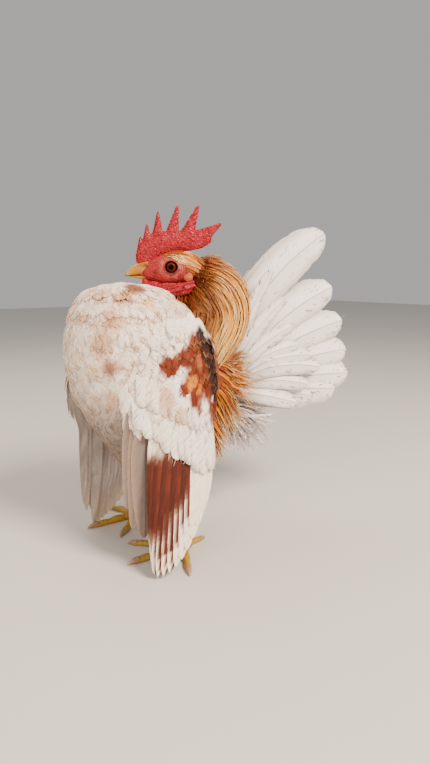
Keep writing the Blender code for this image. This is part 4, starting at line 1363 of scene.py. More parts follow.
    def colour(self, skin: bpy.types.Object) -> None:
        """Paints the skin as the plumage over it, and red on the face."""
        points = points_of(skin)
        local = self.head.local(points)
        colours = body_ground(points)
        wing = (np.abs(points[:, 0]) > 36) & (points[:, 2] > 86)
        colours[wing] = wing_ground(points[wing])
        neck = (points[:, 2] > 120) & (points[:, 1] > 8) & ~wing
        colours[neck] = mix(RUST, GOLD, 0.3 + 0 * points[neck, 0])
        bare = self.face_share(local)
        r = np.hypot(local[:, 0] / 1.06, local[:, 2])
        ring = np.exp(-(((r - 6.6) / 1.6) ** 2)) * (0.26 + 0.14 * np.cos(2 * np.pi * r / 1.25))
        red = mix(mix(FACE_RED, LOBE_TAN, 0.2 + 0.25 * lump(points, 3.0)), CREAM, ring)
        red = mix(red, linear("6A0C14"), 0.5 * ramp(lump(points, 1.6, 9.0), 0.1, 0.8))
        colours = mix(colours, mix(red, DUSK, 0.8 * (r < 4.45)), bare)
        paint(skin, colours)
        lay_uv(skin, "vane", points[:, [0, 2]] + points[:, [1, 1]] * 0.5)
        spread = np.stack([np.arctan2(points[:, 0], points[:, 1]) / (2 * np.pi) + 0.5, points[:, 2] / 250], -1)
        lay_uv(skin, "OFBake", spread)
        index = np.empty(len(skin.data.loops), np.int32)
        skin.data.loops.foreach_get("vertex_index", index)
        first = np.empty(len(skin.data.polygons), np.int32)
        skin.data.polygons.foreach_get("loop_start", first)
        skin.data.polygons.foreach_set("material_index", (bare[index[first]] > 0.5).astype(np.int32))


@dataclass
class BodyPlumage:
    """The small feathers of breast, back and belly, in rows pitch apart and gauge apart within a row."""

    torso: Torso
    cover: Cover
    pitch: float = 2.9
    gauge: float = 4.4
    rows: int = 8

    def roots(self) -> tuple[Array, Array]:
        """Angles and heights of the roots, in staggered rows evenly spaced down the body."""
        fine = np.linspace(self.torso.top - 0.5, self.torso.foot + 2, 300)
        reach = curve(fine, self.torso.sections)[:, 1:].mean(1)
        run = np.concatenate([[0], np.cumsum(np.hypot(np.diff(fine), np.diff(reach)))])
        levels = np.interp(np.arange(1.5, run[-1], self.pitch), run, fine)
        rng = np.random.default_rng(11)
        angles, heights = [], []
        for row, level in enumerate(levels):
            girth = 2 * np.pi * curve(np.array(level), self.torso.sections)[1:].mean()
            count = max(6, int(girth / self.gauge))
            angle = (np.arange(count) + 0.5 * (row % 2)) / count * 2 * np.pi
            angles.append(angle + rng.normal(0, 0.2, count) * 2 * np.pi / count)
            heights.append(level + rng.normal(0, 0.9, count))
        return np.concatenate(angles), np.concatenate(heights)

    def build(self, look: bpy.types.Material) -> None:
        """The dressed coat, front and rear."""
        angle, height = self.roots()
        root = self.torso.point(angle, height)
        keep = ~(self.cover.under_neck(root) | self.cover.under_wing(root) | self.cover.under_tail(root))
        for index, (name, part) in enumerate((("breast", root[:, 1] < -8), ("flank", root[:, 1] >= -8))):
            chosen = keep & part
            groups = self.groups(angle[chosen], height[chosen], 12 + 10 * index)
            for word, group in zip(("feathers", "barbs"), groups):
                dress(coat(f"{name}_{word}", [group]), look, "body_white")

    def groups(self, angle: Array, height: Array, seed: int) -> list[tuple[Vanes, Array]]:
        """Feathers and their loose barbs, with their colours."""
        root = self.torso.point(angle, height)
        normal = self.torso.normal(angle, height)
        rng = np.random.default_rng(seed)
        count = len(root)
        down = self.torso.point(angle, height - 1) - root
        back = np.array((0, 1.0, 0)) * (0.2 + 0.8 * ramp(-height, -110, -60))[:, None]
        way = unit(down) + back + 0.16 * rng.standard_normal((count, 3))
        length = np.interp(height, (50, 100, 150, 175, 187), (24, 23, 20, 16, 12)) * rng.uniform(0.88, 1.12, count)
        lift = rng.uniform(0.0, 0.46, count) ** 1.5
        bend = length * np.interp(height, (150, 172, 186), (0.023, 0.032, 0.055))
        middle, face = laid(root, normal, way, length, self.rows, np.full(count, -2.8), lift, bend)
        half = np.interp(height, (60, 110, 150, 187), (3.9, 4.4, 5.0, 4.2)) * rng.uniform(0.85, 1.15, count)
        spread = np.stack([(angle / (2 * np.pi)) % 1 * 0.98 + 0.01, height / 200], -1)
        shape = curve(steps(self.rows), ROUND_VANE)[:, 0]
        point = curve(steps(self.rows), POINT_VANE)[:, 0]
        share = np.interp(height, (90, 150), (1, 0.3))[:, None]
        vanes = Vanes(middle, face, half[:, None] * (shape * (1 - share) + point * share), spread, ragged=0.06, seed=seed)
        pattern = Pattern(rim=TAN, rim_share=0.9, tip=WHITE, tip_share=0.3, vary=0.03)
        tints = pattern.paint(marked(vanes, body_ground), *vanes.cells(), seed=seed + 1)
        return [(vanes, tints), fringe(vanes, tints, 6, 4.0, seed + 2)]


@dataclass
class ThighPlumage:
    """The small feathers of the drumsticks, rings of them pitch apart."""

    pitch: float = 2.6
    rows: int = 7

    def build(self, look: bpy.types.Material) -> None:
        """The dressed feathers of both thighs."""
        rng = np.random.default_rng(81)
        share, turn = [], []
        for row, level in enumerate(np.arange(0.12, 0.99, self.pitch / 36)):
            count = int(2 * np.pi * curve(np.array(level), THIGH)[3] / 3.4) + 2
            turn.append((np.arange(count) + 0.5 * (row % 2) + rng.normal(0, 0.15, count)) / count * 2 * np.pi)
            share.append(np.full(count, level))
        share, turn = np.concatenate(share), np.concatenate(turn)
        values, ahead = curve(share, THIGH), curve(share + 0.02, THIGH)
        way = unit(ahead[:, :3] - values[:, :3])
        side = unit(np.cross(way, (0, 1.0, 0)))
        normal = side * np.cos(turn)[:, None] + np.cross(way, side) * np.sin(turn)[:, None]
        root = values[:, :3] + normal * values[:, 3:]
        parts = []
        for wing in Side:
            flip = np.array((wing.value, 1, 1))
            count = len(share)
            lie = (way + 0.12 * rng.standard_normal((count, 3))) * flip
            length = np.interp(share, (0, 1), (16, 9)) * rng.uniform(0.85, 1.1, count)
            lift = rng.uniform(0.0, 0.6, count)
            middle, face = laid(root * flip, normal * flip, lie, length, self.rows, np.full(count, -2.4), lift, length / 40)
            bake = np.stack([turn / (2 * np.pi) * 0.4 + 0.25 * (1 + wing.value), share], -1)
            vanes = Vanes(middle, face, outline(ROUND_VANE, self.rows, rng.uniform(2.6, 3.4, count)), bake, seed=82)
            tints = Pattern(rim=TAN, rim_share=0.5).paint(mix(WHITE, TAUPE, rng.uniform(0.35, 0.6, count)), *vanes.cells(), seed=83)
            parts += [(vanes, tints), fringe(vanes, tints, 5, 3.4, 84)]
        dress(coat("thigh_feathers", parts), look, "body_white")


@dataclass
class Hackle:
    """Long narrow feathers that hang from the nape down the neck, gauge apart within a row."""

    neck: Neck
    gauge: float = 2.1
    rows: int = 9

    def build(self, look: bpy.types.Material) -> None:
        """The dressed hackle."""
        rng = np.random.default_rng(21)
        starts, angles = [], []
        for row, share in enumerate(np.linspace(0.0, 0.8, 22)):
            girth = 2 * np.pi * curve(np.array(share), self.neck.stations)[3:].mean()
            spread = math.radians(np.interp(share, (0, 0.3, 0.8), (176, 172, 150)))
            count = int(girth * spread / np.pi / self.gauge)
            angle = spread * (2 * (np.arange(count) + 0.25 + 0.5 * (row % 2)) / count - 1)
            angles.append(angle + rng.normal(0, 0.03, count))
            starts.append(share + rng.normal(0, 0.012, count))
        start, angle = np.concatenate(starts).clip(0, 0.82), np.concatenate(angles)
        count = len(start)
        length = np.interp(start, (0, 0.15, 0.4, 0.8), (14, 24, 38, 32)) * rng.uniform(0.85, 1.12, count)
        v = steps(self.rows)[None]
        share = np.minimum(start[:, None] + length[:, None] / 92 * v, 0.98)
        turn = angle[:, None] * (1 - (0.04 + 0.16 * np.abs(angle[:, None]) / np.pi) * v) + rng.normal(0, 0.03, (count, 1)) * v
        lift = -2.2 + (rng.uniform(2.8, 5.8, (count, 1))) * (1 - (1 - v) ** 2)
        middle = self.neck.point(turn, share, lift)
        half = length * 0.036 * rng.uniform(0.8, 1.15, count)
        bake = np.stack([angle / (2 * np.pi) + 0.5, start], -1)
        vanes = Vanes(middle, self.neck.normal(turn, share), outline(LANCE_VANE, self.rows, half), bake, seed=22)
        ground = neck_ground(start, angle, middle[:, 0])
        back = 1 - ramp(np.abs(angle), 1.6, 2.5)[:, None, None]
        pattern = Pattern(rim=STRAW, rim_share=0.6, tip=STRAW, tip_share=0.95, tip_from=0.3, stripe=RUST, stripe_share=0.5)
        tints = pattern.paint(ground, *vanes.cells(), seed=23)
        tints = mix(np.broadcast_to(ground[:, None, None], tints.shape), tints, back * ramp(start, -0.05, 0.15)[:, None, None] * 0.9 + 0.1)
        item = coat("hackle_feathers", [(vanes, tints), fringe(vanes, tints, 2, 4.0, 24)])
        dress(item, look, "hackle_gold")


@dataclass
class HeadPlumage:
    """Short feathers over the crown and cheek, growing longer towards the nape."""

    head: Head
    hide: "Hide"
    rows: int = 6

    def build(self, look: bpy.types.Material) -> None:
        """The dressed head feathers."""
        rng = np.random.default_rng(25)
        places, turns = [], []
        for row, forward in enumerate(np.arange(7.0, -18.4, -1.3)):
            wide, high = curve(np.array(forward), self.head.stations)[1:]
            count = int(np.pi * (wide + high) / 1.5)
            turns.append((np.arange(count) + 0.5 * (row % 2) + rng.normal(0, 0.15, count)) / count * 2 * np.pi)
            places.append(forward + rng.normal(0, 0.3, count))
        place, turn = np.concatenate(places), np.concatenate(turns)
        up, wide, high = np.moveaxis(curve(place, self.head.stations), -1, 0)
        local = np.stack([place, wide * np.sin(turn), up + high * np.cos(turn)], -1)
        keep = (self.hide.face_share(local) < 0.4) & ~((np.abs(local[:, 1]) < 2.4) & (np.cos(turn) > 0))
        local, turn, place = local[keep], turn[keep], place[keep]
        count = len(local)
        normal = unit(np.stack([place / 30, local[:, 1] / 11, (local[:, 2] + 0.5) / 12], -1))
        way = np.array((-1.0, 0, -0.25)) + 0.12 * rng.standard_normal((count, 3))
        length = np.interp(place, (-18, -10, 0, 7), (21, 12, 6, 3.6)) * rng.uniform(0.85, 1.15, count)
        lift = length * rng.uniform(0.04, 0.11, count)
        normal, way = self.head.turn(normal), self.head.turn(way)
        middle, face = laid(self.head.place(local), normal, way, length, self.rows, np.full(count, -0.6), lift, length / 30)
        bake = np.stack([turn / (2 * np.pi), (place + 20) / 45], -1)
        half = length * 0.07 + 0.35
        vanes = Vanes(middle, face, outline(LANCE_VANE, self.rows, half), bake, 0.16, seed=26)
        low = ramp(-local[:, 2], -3, 7)
        ground = mix(CREAM, GOLD, ramp(-place + 0.6 * lump(local, 4.0), 0, 8) * 0.8 + 0.15)
        ground = mix(ground, RUST, 0.9 * np.maximum(low, ramp(-place, 8, 15) * 0.8))
        pattern = Pattern(rim=STRAW, rim_share=0.5, tip=STRAW, tip_share=0.35, vary=0.1)
        item = coat("head_feathers", [(vanes, pattern.paint(ground, *vanes.cells(), seed=27))])
        dress(item, look, "hackle_gold")


@dataclass
class Saddle:
    """Long narrow feathers from the lower back, over the tail's root and down behind the wings."""

    torso: Torso
    rows: int = 9
    locks: tuple = (
        # angle from the back, height of the root, and the tip's x, y and z
        (14, 123, 20, 72, 135),
        (22, 122, 26, 74, 122),
        (30, 121, 30, 72, 109),
        (38, 119, 30, 65, 95),
        (46, 116, 30, 58, 80),
        (54, 108, 31, 51, 67),
        (62, 100, 34, 43, 58),
    )

    def build(self, look: bpy.types.Material) -> None:
        """The dressed saddle."""
        rng = np.random.default_rng(31)
        count = 330
        angle = np.tile(rng.uniform(4, 68, count), 2)
        sign = np.repeat((1.0, -1.0), count)
        values = curve(angle, self.locks)
        total = 2 * count
        height = values[:, 0] + rng.normal(0, 5, total)
        tip = values[:, 1:] + rng.normal(0, 1.0, (total, 3)) * (2.5, 4.0, 5.0)
        tip[:, 0] *= sign
        turn = np.radians(angle) * sign
        start = self.torso.point(turn, height, -3.0)
        tip = start + (tip - start) * rng.uniform(0.35, 1.0, total)[:, None]
        bend = self.torso.point(turn, height - 4, 7.0) * 0.5 + (start + tip) * 0.25 + rng.normal(0, 1.5, (total, 3)) + (0, 2, 4)
        middle = quadratic(start, bend, tip, self.rows)
        out = np.stack([sign, np.full(total, 0.6), np.full(total, 0.3)], -1)
        face = np.broadcast_to(out[:, None], middle.shape)
        half = rng.uniform(0.9, 1.9, total)
        bake = np.stack([turn / (2 * np.pi) + 0.5, height / 200], -1)
        vanes = Vanes(middle, face, outline(LANCE_VANE, self.rows, half), bake, seed=32)
        ground = mix(RUST, GOLD, rng.uniform(0.1, 1, total) * ramp(angle, 8, 30))
        pattern = Pattern(rim=STRAW, rim_share=0.5, tip=STRAW, tip_share=0.7, tip_from=0.6)
        tints = pattern.paint(ground, *vanes.cells(), seed=33)
        item = coat("saddle_feathers", [(vanes, tints), fringe(vanes, tints, 3, 4.5, 34)])
        dress(item, look, "hackle_gold")


@dataclass
class WingPlumage:
    """One wing: its flight feathers, and the coverts over its arm.

    bed holds y and height of the first and last flight feather's root, lift the share of the tips' height that
    each side keeps, and gauge the space between small coverts.
    """

    wing: Wing
    bed: tuple = ((-39.0, 106.0), (14.0, 92.0))
    lift: tuple[float, float] = (1.0, 0.45)
    gauge: float = 4.0
    tips: tuple = (
        # order from the front of the wing, and each tip's y and height
        (0, -40, 42),
        (1, -37, 26),
        (2, -31, 22),
        (3, -32, 19),
        (4, -33, 10),
        (5, -33, 4),
        (6, -28, 3),
        (7, -21, 7),
        (8, -14, 14),
        (9, -6, 25),
        (10, 2, 39),
    )

    @property
    def word(self) -> str:
        """left or right."""
        return self.wing.side.name.lower()

    def lay_out(self, root: Array, tip: Array, bow: Array, out: Field, flare: Array, rows: int) -> tuple[Array, Array]:
        """Middle lines and faces of feathers on the wing's sheet.

        Args:
            root: y and height of each root.
            tip: the same of each tip.
            bow: how far the middle is pulled back along y.
            out: gives the distance off the sheet by feather and ring.
            flare: the share of the sheet's spread.
            rows: rings in a feather.

        Returns:
            Points and face directions by feather and ring.
        """
        line = quadratic(root, (root + tip) / 2 + np.stack([bow, 0 * bow], -1), tip, rows)
        level = out(steps(rows)[None])
        middle = self.wing.point(line[..., 0], line[..., 1], level, flare[:, None])
        way = unit(np.gradient(line, axis=1))
        beside = self.wing.point(line[..., 0] - way[..., 1], line[..., 1] + way[..., 0], level, flare[:, None])
        face = np.cross(unit(beside - middle), unit(np.gradient(middle, axis=1)))
        return middle, face * np.sign(face[..., :1] * self.wing.side.value)

    def flights(self, look: bpy.types.Material) -> None:
        """The primaries and secondaries, each lying on the one in front of it."""
        rows = 30
        order = np.concatenate([(0.0, 0.8, 1.9), np.linspace(3.1, 10, 13)])
        count = len(order)
        tip = curve(order, self.tips)
        tip[:, 1] = 2.5 + (tip[:, 1] - 2.5) * self.lift[self.wing.side is Side.RIGHT]
        share = ((order + 0.6) / 11.2)[:, None]
        root = np.array(self.bed[0]) * (1 - share) + np.array(self.bed[1]) * share
        outer = order < 2.4
        bow = np.where(outer, 1.0, 6.0 * (0.4 + 0.06 * order))
        lay = self.wing.lay(root[:, 0])[:, None]
        middle, face = self.lay_out(root, tip, bow, lambda v: lay + 0 * v, np.where(outer, 0.35, 1.0), rows)
        half = outline(FLIGHT_VANE, rows, np.interp(order, (0, 0.8, 1.9, 3.1), (4.2, 4.6, 9, 5.8)))
        bake = np.stack([order / 10 * 0.9 + 0.05, np.full(count, 0.5)], -1)
        vanes = Vanes(middle, face, half, bake, 0.25, 0.1, 0.3, 0.02, QUILL_SECTION, 41)
        item = coat(f"flight_feathers_{self.word}", [(vanes, self.flight_tint(vanes, order[:, None, None]))])
        dress(item, look, "flight_rust", f"wing_flight_{self.word}")

    def flight_tint(self, vanes: Vanes, order: Array) -> Array:
        """Grey primaries, rust secondaries with cream ends and trailing edges, and white rear feathers; painted shade
        darkens the rust towards each trailing edge.
        """
        u, v = vanes.cells()
        height = np.repeat(vanes.middle[..., 2:3], len(vanes.section), 2)
        streak = lump(np.stack([u * 7 + order * 20, v * 30, 0 * v + order * 9], -1), 5.0)
        trail = u * self.wing.side.value
        colours = mix(np.broadcast_to(WHITE, (*u.shape, 3)), CREAM, 0.35 + 0.3 * streak)
        late = v + 0.055 * (order - 3) - 0.24 + 0.05 * streak
        edge = np.interp(late, (0.42, 0.68, 0.84, 0.96), (1.15, 0.85, 0.2, -1.3))
        fall = ramp(trail - edge, 0, 0.25)
        rust = ramp(order, 2.4, 2.6) * (1 - ramp(order, 8.4, 8.8)) * (1 - fall)
        rust = rust * (1 - ramp(height + 7 * streak, 72, 86))
        # the last term is painted shade: the rust darkens towards each feather's trailing edge, where it meets its
        # neighbour
        deep = mix(RUST, DEEP_RUST, 0.25 + 0.45 * ramp(np.sin(order * 5), -1, 1) + 0.3 * ramp(trail, 0.7, 1))
        colours = mix(colours, deep, 0.97 * rust)
        colours = mix(colours, DEEP_RUST, 0.45 * rust * ramp(streak, -0.2, 0.5))
        grey = 1 - ramp(order, 2.4, 2.6)
        colours = mix(colours, mix(TAUPE, DUSK, 0.12), 0.92 * grey)
        inner = 0.01 * (self.wing.side is Side.RIGHT)
        under = (np.array(vanes.section)[:, 1] < inner) * 0.92
        pale = mix(mix(TAUPE, SILVER, 0.6 + 0.2 * streak), CREAM, 0.5 * ramp(v, 0.7, 0.95))
        colours = mix(colours, pale, under)
        return mix(colours, mix(TAN, CREAM, 0.5 + 0 * u), 0.3 * grey * (np.abs(u) > 0.9))

    def row(self, count: int, roots: Sequence, tips: Sequence, bow: float, lift: float, half: float, seed: int) -> tuple[Vanes, Array]:
        """A row of large coverts.

        Args:
            count: feathers in the row.
            roots: y and height of the first and last root.
            tips: the same of the tips.
            bow: how far the tips' line hangs below its ends.
            lift: height over the flight feathers.
            half: half width of a feather.
            seed: of the small differences.

        Returns:
            The feathers and their colours.
        """
        rng = np.random.default_rng(seed)
        rows = 14
        share = np.linspace(0, 1, count)[:, None]
        root = np.array(roots[0]) * (1 - share) + np.array(roots[1]) * share
        tip = np.array(tips[0]) * (1 - share) + np.array(tips[1]) * share
        tip[:, 1] += (bow * 4 * share * (1 - share))[:, 0] + rng.normal(0, 1.2, count)
        tip[:, 0] += rng.normal(0, 0.8, count)
        lay = self.wing.lay(root[:, 0])[:, None]
        middle, face = self.lay_out(
            root,
            tip,
            rng.normal(1.5, 0.8, count),
            lambda v: lay - 1.0 + (lift + 1.0) * ramp(v, 0, 0.4),
            np.ones(count),
            rows,
        )
        bake = np.stack([share[:, 0] * 0.9 + 0.05, np.full(count, 0.02 * seed % 1)], -1)
        half = outline(COVERT_VANE, rows, half * rng.uniform(0.9, 1.1, count))
        vanes = Vanes(middle, face, half, bake, 0.2, 0.22, 0.15, 0.03, QUILL_SECTION, seed)
        # painted shade: the taupe rim greys each covert's end and edges, between the feathers
        pattern = Pattern(rim=TAUPE, rim_share=0.6, tip=WHITE, tip_share=0.3, vary=0.03)
        return vanes, pattern.paint(marked(vanes, wing_ground), *vanes.cells(), seed)

    def small(self) -> tuple[Vanes, Array]:
        """The small coverts of shoulder and arm, longer and more pointed down the wing."""
        rng = np.random.default_rng(51)
        ys, levels = [], []
        for row, level in enumerate(np.arange(165, 108, -3.1)):
            middle, half, _ = curve(np.array(level), Wing.arm)
            count = max(2, int(2 * half / self.gauge))
            ys.append(middle + half * (2 * (np.arange(count) + 0.25 + 0.5 * (row % 2)) / count - 1) + rng.normal(0, 0.8, count))
            levels.append(level + rng.normal(0, 1.0, count))
        y, level = np.concatenate(ys), np.concatenate(levels)
        root = self.wing.point(y, level, self.wing.arm_out(y, level))
        normal = self.wing.normal(y, level, self.wing.arm_out)
        count = len(y)
        length = np.interp(level, (112, 135, 165), (21, 18, 15)) * rng.uniform(0.85, 1.15, count)
        way = np.array((0, 0.12, -1.0)) + 0.12 * rng.standard_normal((count, 3))
        lift = rng.uniform(0.0, 0.5, count)
        middle, face = laid(root, normal, way, length, 9, np.full(count, -2.2), lift, length / 70)
        bake = np.stack([(y + 45) / 90, level / 200], -1)
        vanes = Vanes(middle, face, outline(POINT_VANE, 9, rng.uniform(3.3, 4.3, count)), bake, ragged=0.05, seed=52)
        pattern = Pattern(rim=TAN, rim_share=0.7, tip=CREAM, tip_share=0.12, vary=0.06)
        return vanes, pattern.paint(marked(vanes, wing_ground), *vanes.cells(), seed=53)

    def coverts(self, look: bpy.types.Material) -> None:
        """The coverts in their rows."""
        greater = self.row(10, ((-32, 118), (13, 108)), ((-31, 95), (11, 61)), -4.0, 2.7, 4.7, 61)
        median = self.row(11, ((-28, 134), (11, 128)), ((-29, 110), (13, 90)), -2.0, 3.6, 4.4, 62)
        small = self.small()
        parts = [greater, median, small, fringe(*small, 5, 3.6, 63), fringe(*median, 8, 4.0, 64), fringe(*greater, 8, 4.0, 65)]
        item = coat(f"wing_coverts_{self.word}", parts)
        dress(item, look, "wing_white", f"wing_{self.word}")


@dataclass
class TailPlumage:
    """The fan of the tail with its side coverts."""

    tail: Tail
    rectrices: tuple = (
        # tip elevation, tip distance, rise and half width, all angles in degrees
        (55.2, 144, 26, 14.5),
        (41, 118, 18, 13),
        (27.5, 111, 12, 12.5),
        (15.5, 106, 8, 12.5),
        (5, 104, 4, 12.5),
        (-2, 92, 1, 12.5),
        (-6, 72, 0, 12),
    )
    coverts: tuple = (
        (71, 96, 9, 5),
        (58, 82, 16, 5.5),
        (44, 70, 20, 6),
        (31, 66, 24, 7),
        (21, 72, 26, 7.5),
        (12, 77, 26, 8),
        (2, 66, 18, 7),
        (-12, 58, 6, 7),
    )

    def feathers(self, tips: Array, side: int, layer: Array, splay: Array, shape: Sequence, rows: int, seed: int) -> Vanes:
        """Feathers that stand edge up beside the tail's plane.

        Args:
            tips: elevation, distance, rise and half width of each.
            side: 1 on the left or -1.
            layer: distance from the plane at the root.
            splay: angle away from the plane.
            shape: the outline.
            rows: rings in a feather.
            seed: of the small differences.

        Returns:
            The feathers.
        """
        elevation, rise, distance = np.radians(tips[:, 0]), np.radians(tips[:, 2]), tips[:, 1]
        end = np.stack([np.cos(elevation), np.sin(elevation)], -1) * distance[:, None]
        steep = np.stack([np.cos(elevation + rise), np.sin(elevation + rise)], -1)
        line = quadratic(steep * 7.0, steep * (distance * 0.52)[:, None], end, rows)
        aside = side * (layer[:, None] + np.linalg.norm(line, axis=-1) * np.sin(splay)[:, None])
        middle = self.tail.point(line[..., 0], line[..., 1], aside)
        tangent = unit(np.gradient(middle, axis=1))
        left = self.tail.left * side
        across = (unit(np.cross(tangent, left)) + left * 0.12) * side
        across = unit(across - tangent * (across * tangent).sum(-1, keepdims=True))
        count = len(tips)
        bake = np.stack([np.linspace(0.1, 0.9, count), np.full(count, 0.5 + 0.2 * side)], -1)
        half = outline(shape, rows, tips[:, 3])
        return Vanes(middle, np.cross(across, tangent), half, bake, 0.25, 0.2, 0.35, 0.015, QUILL_SECTION, seed)

    def build(self, look: bpy.types.Material) -> None:
        """The dressed tail."""
        parts = []
        main, small = np.array(self.rectrices, float), np.array(self.coverts, float)
        rank = np.arange(len(main))
        for side in (1, -1):
            layer = 1.0 + 0.95 * (len(main) - 1 - rank)
            splay = np.radians(-1.0 + 8.5 * rank / (len(main) - 1))
            fan = self.feathers(main, side, layer, splay, BROAD_VANE, 40, 71)
            rank_small = np.arange(len(small))
            cover = self.feathers(small, side, 7.6 + 0.5 * (rank_small % 3), np.radians(6 + 0 * rank_small), COVERT_VANE, 24, 73)
            for group, each in ((fan, 13), (cover, 3)):
                tints = self.tint(group, 74 + side)
                parts += [(group, tints), fringe(group, tints, each, 2.6, 78 + side, FLECK), fringe(group, tints, 12, 5.0, 80 + side)]
        item = coat("tail_feathers", parts)
        dress(item, look, "tail_white", "tail")

    def tint(self, group: Vanes, seed: int) -> Array:
        """Silvery white with a faint shaft, greyed at the edges and base of each vane by painted shade where neighbours
        overlap; the few grey flecks are laid on by build.
        """
        rng = np.random.default_rng(seed)
        u, v = group.cells()
        count = len(group.half)
        colours = np.broadcast_to(SILVER, (*u.shape, 3)) * (1 + 0.03 * rng.standard_normal((count, 1, 1, 1)))
        # painted shade: taupe towards each vane's edges and over its base, where the neighbouring feathers overlap it
        colours = mix(colours, TAUPE, 0.4 * ramp(np.abs(u), 0.5, 1) + 0.4 * (1 - ramp(v, 0.2, 0.6)))
        return mix(colours, TAUPE, 0.9 * (u == 0) * (1 - 0.4 * v))




@dataclass
class Down:
    """Fluffy plumes under the tail and round the thighs.

    beds holds, for each group of plumes, its middle, its spread, the plumes' way, their length, their number and
    two colours between which theirs lie. The last group is the ruff of the throat.
    """

    beds: tuple = (
        ((3, 66, 88), (9, 12, 7), (0, 0.7, -0.7), 36, 700, SILVER, TAUPE),
        ((0, 40, 80), (15, 12, 9), (0, 0.6, -0.8), 22, 360, SILVER, TAUPE),
        ((24, 4, 62), (9, 10, 8), (0.1, 0.2, -1), 17, 260, SILVER, TAUPE),
        ((-24, 4, 62), (9, 10, 8), (-0.1, 0.2, -1), 17, 260, SILVER, TAUPE),
        ((2, 24, 186), (9, 6, 5), (0, -0.05, -1), 22, 260, RUST, GOLD),
    )

    def build(self, look: bpy.types.Material) -> None:
        """The dressed down."""
        rng = np.random.default_rng(91)
        parts = []
        for index, (middle, spread, way, length, count, *pair) in enumerate(self.beds):
            start = np.array(middle) + unit(rng.standard_normal((count, 3))) * spread * 0.8
            heading = unit(np.array(way) + 0.34 * rng.standard_normal((count, 3)))
            reach = length * rng.uniform(0.5, 1.05, (count, 1))
            end = start + heading * reach
            bend = (start + end) / 2 + rng.normal(0, 0.16, (count, 3)) * reach
            lines = quadratic(start, bend, end, 6)
            face = np.repeat(unit(rng.standard_normal((count, 1, 3))), 6, 1)
            bake = np.stack([0.2 * index + rng.uniform(0, 0.18, count), rng.uniform(0, 1, count)], -1)
            half = outline(LANCE_VANE, 6, rng.uniform(0.5, 1.0, count))
            plumes = Vanes(lines, face, half, bake, 0.12, section=BARB_SECTION, seed=92 + index)
            tone = mix(*pair, rng.uniform(0.05, 0.5, count))
            tints = np.broadcast_to(tone[:, None, None], (count, 6, len(BARB_SECTION), 3))
            parts += [(plumes, tints), fringe(plumes, tints, 4, 3.4, 96 + index)]
        dress(coat("down_plumes", parts), look, "body_white")
@dataclass
class Crest:
    """The comb: a beaded blade with six points."""

    head: Head
    profile: tuple = (
        # forward, bottom, top, half thickness
        (-27.5, 17.5, 27.5, 1.5),
        (-22.0, 14.0, 26.5, 1.9),
        (-14.5, 12.0, 25.5, 2.2),
        (-4.0, 11.0, 25.0, 2.4),
        (8.0, 7.0, 24.5, 2.6),
        (17.5, 0.0, 21.5, 2.4),
        (23.0, 1.6, 16.0, 2.0),
        (25.4, 3.6, 10.0, 1.2),
    )
    spikes: tuple = (
        # root forward, root up, tip forward, tip up, half breadth
        (22.0, 14.0, 22.3, 21.3, 2.4),
        (17.6, 18.0, 17.5, 29.6, 3.2),
        (10.2, 19.0, 9.6, 38.2, 4.6),
        (0.5, 20.0, -4.2, 42.4, 5.6),
        (-9.5, 20.0, -18.7, 42.4, 5.8),
        (-20.0, 20.5, -34.6, 30.1, 6.0),
    )

    def blade(self) -> bpy.types.Object:
        """The blade under the points."""
        forward = np.linspace(-27.5, 25.4, 40)
        bottom, top, thick = np.moveaxis(curve(forward, self.profile), -1, 0)
        centres = self.head.place(np.stack([forward, 0 * forward, (bottom + top) / 2], -1))
        sizes = np.stack([thick, (top - bottom) / 2], -1)
        return loft("blade", ellipses(centres, self.head.left[None], UP[None], sizes, 32))

    def spike(self, root_forward: float, root_up: float, tip_forward: float, tip_up: float, breadth: float) -> bpy.types.Object:
        """One point of the comb."""
        t = np.linspace(0, 0.97, 14)[:, None]
        root = np.array((root_forward, 0, root_up))
        tip = np.array((tip_forward, 0, tip_up))
        path = self.head.place(root * (1 - t) + tip * t)
        shape = curve(t[:, 0], ((0, 2.2, 1), (0.35, 1.8, 0.66), (0.7, 1.3, 0.36), (0.9, 0.95, 0.2), (1, 0.6, 0.1)))
        sizes = shape * np.array((1, breadth))
        return path_tube("spike", path, sizes, 20, self.head.left, self.head.place(tip))

    def build(self, look: bpy.types.Material, bead: bpy.types.Material) -> bpy.types.Object:
        """The dressed comb and the beads on it."""
        comb = fused("comb_skin", [self.blade(), *(self.spike(*spike) for spike in self.spikes)], 0.5, 6)
        points, normal = points_of(comb), normals_of(comb)
        local = self.head.local(points)
        ridges = 0.2 * np.cos(2 * np.pi * (local[:, 2] + 0.5 * local[:, 0]) / 3.2) * ramp(-local[:, 0], -2, 6) * ramp(local[:, 2], 24, 30)
        beads = 0.14 * lump(points, 1.5, 2.0) * ramp(-local[:, 2], -38, -26)
        points = points + normal * (beads + ridges + 0.25)[:, None]
        set_points(comb, points)
        paint(comb, mix(COMB_RED, FACE_RED, 0.25 + 0.3 * lump(points, 5.0)))
        dress(comb, look, "face_red", "comb")
        item = beads_over("comb_beads", comb, np.full(len(points), 1.0), bead, 1.0, 0.26)
        # painted highlight: the comb's beads are tinted a little towards cream
        paint(item, mix(COMB_RED, CREAM, 0.03 + 0.1 * lump(points_of(item), 5.0)))
        dress(item, bead, "face_red")
        return comb


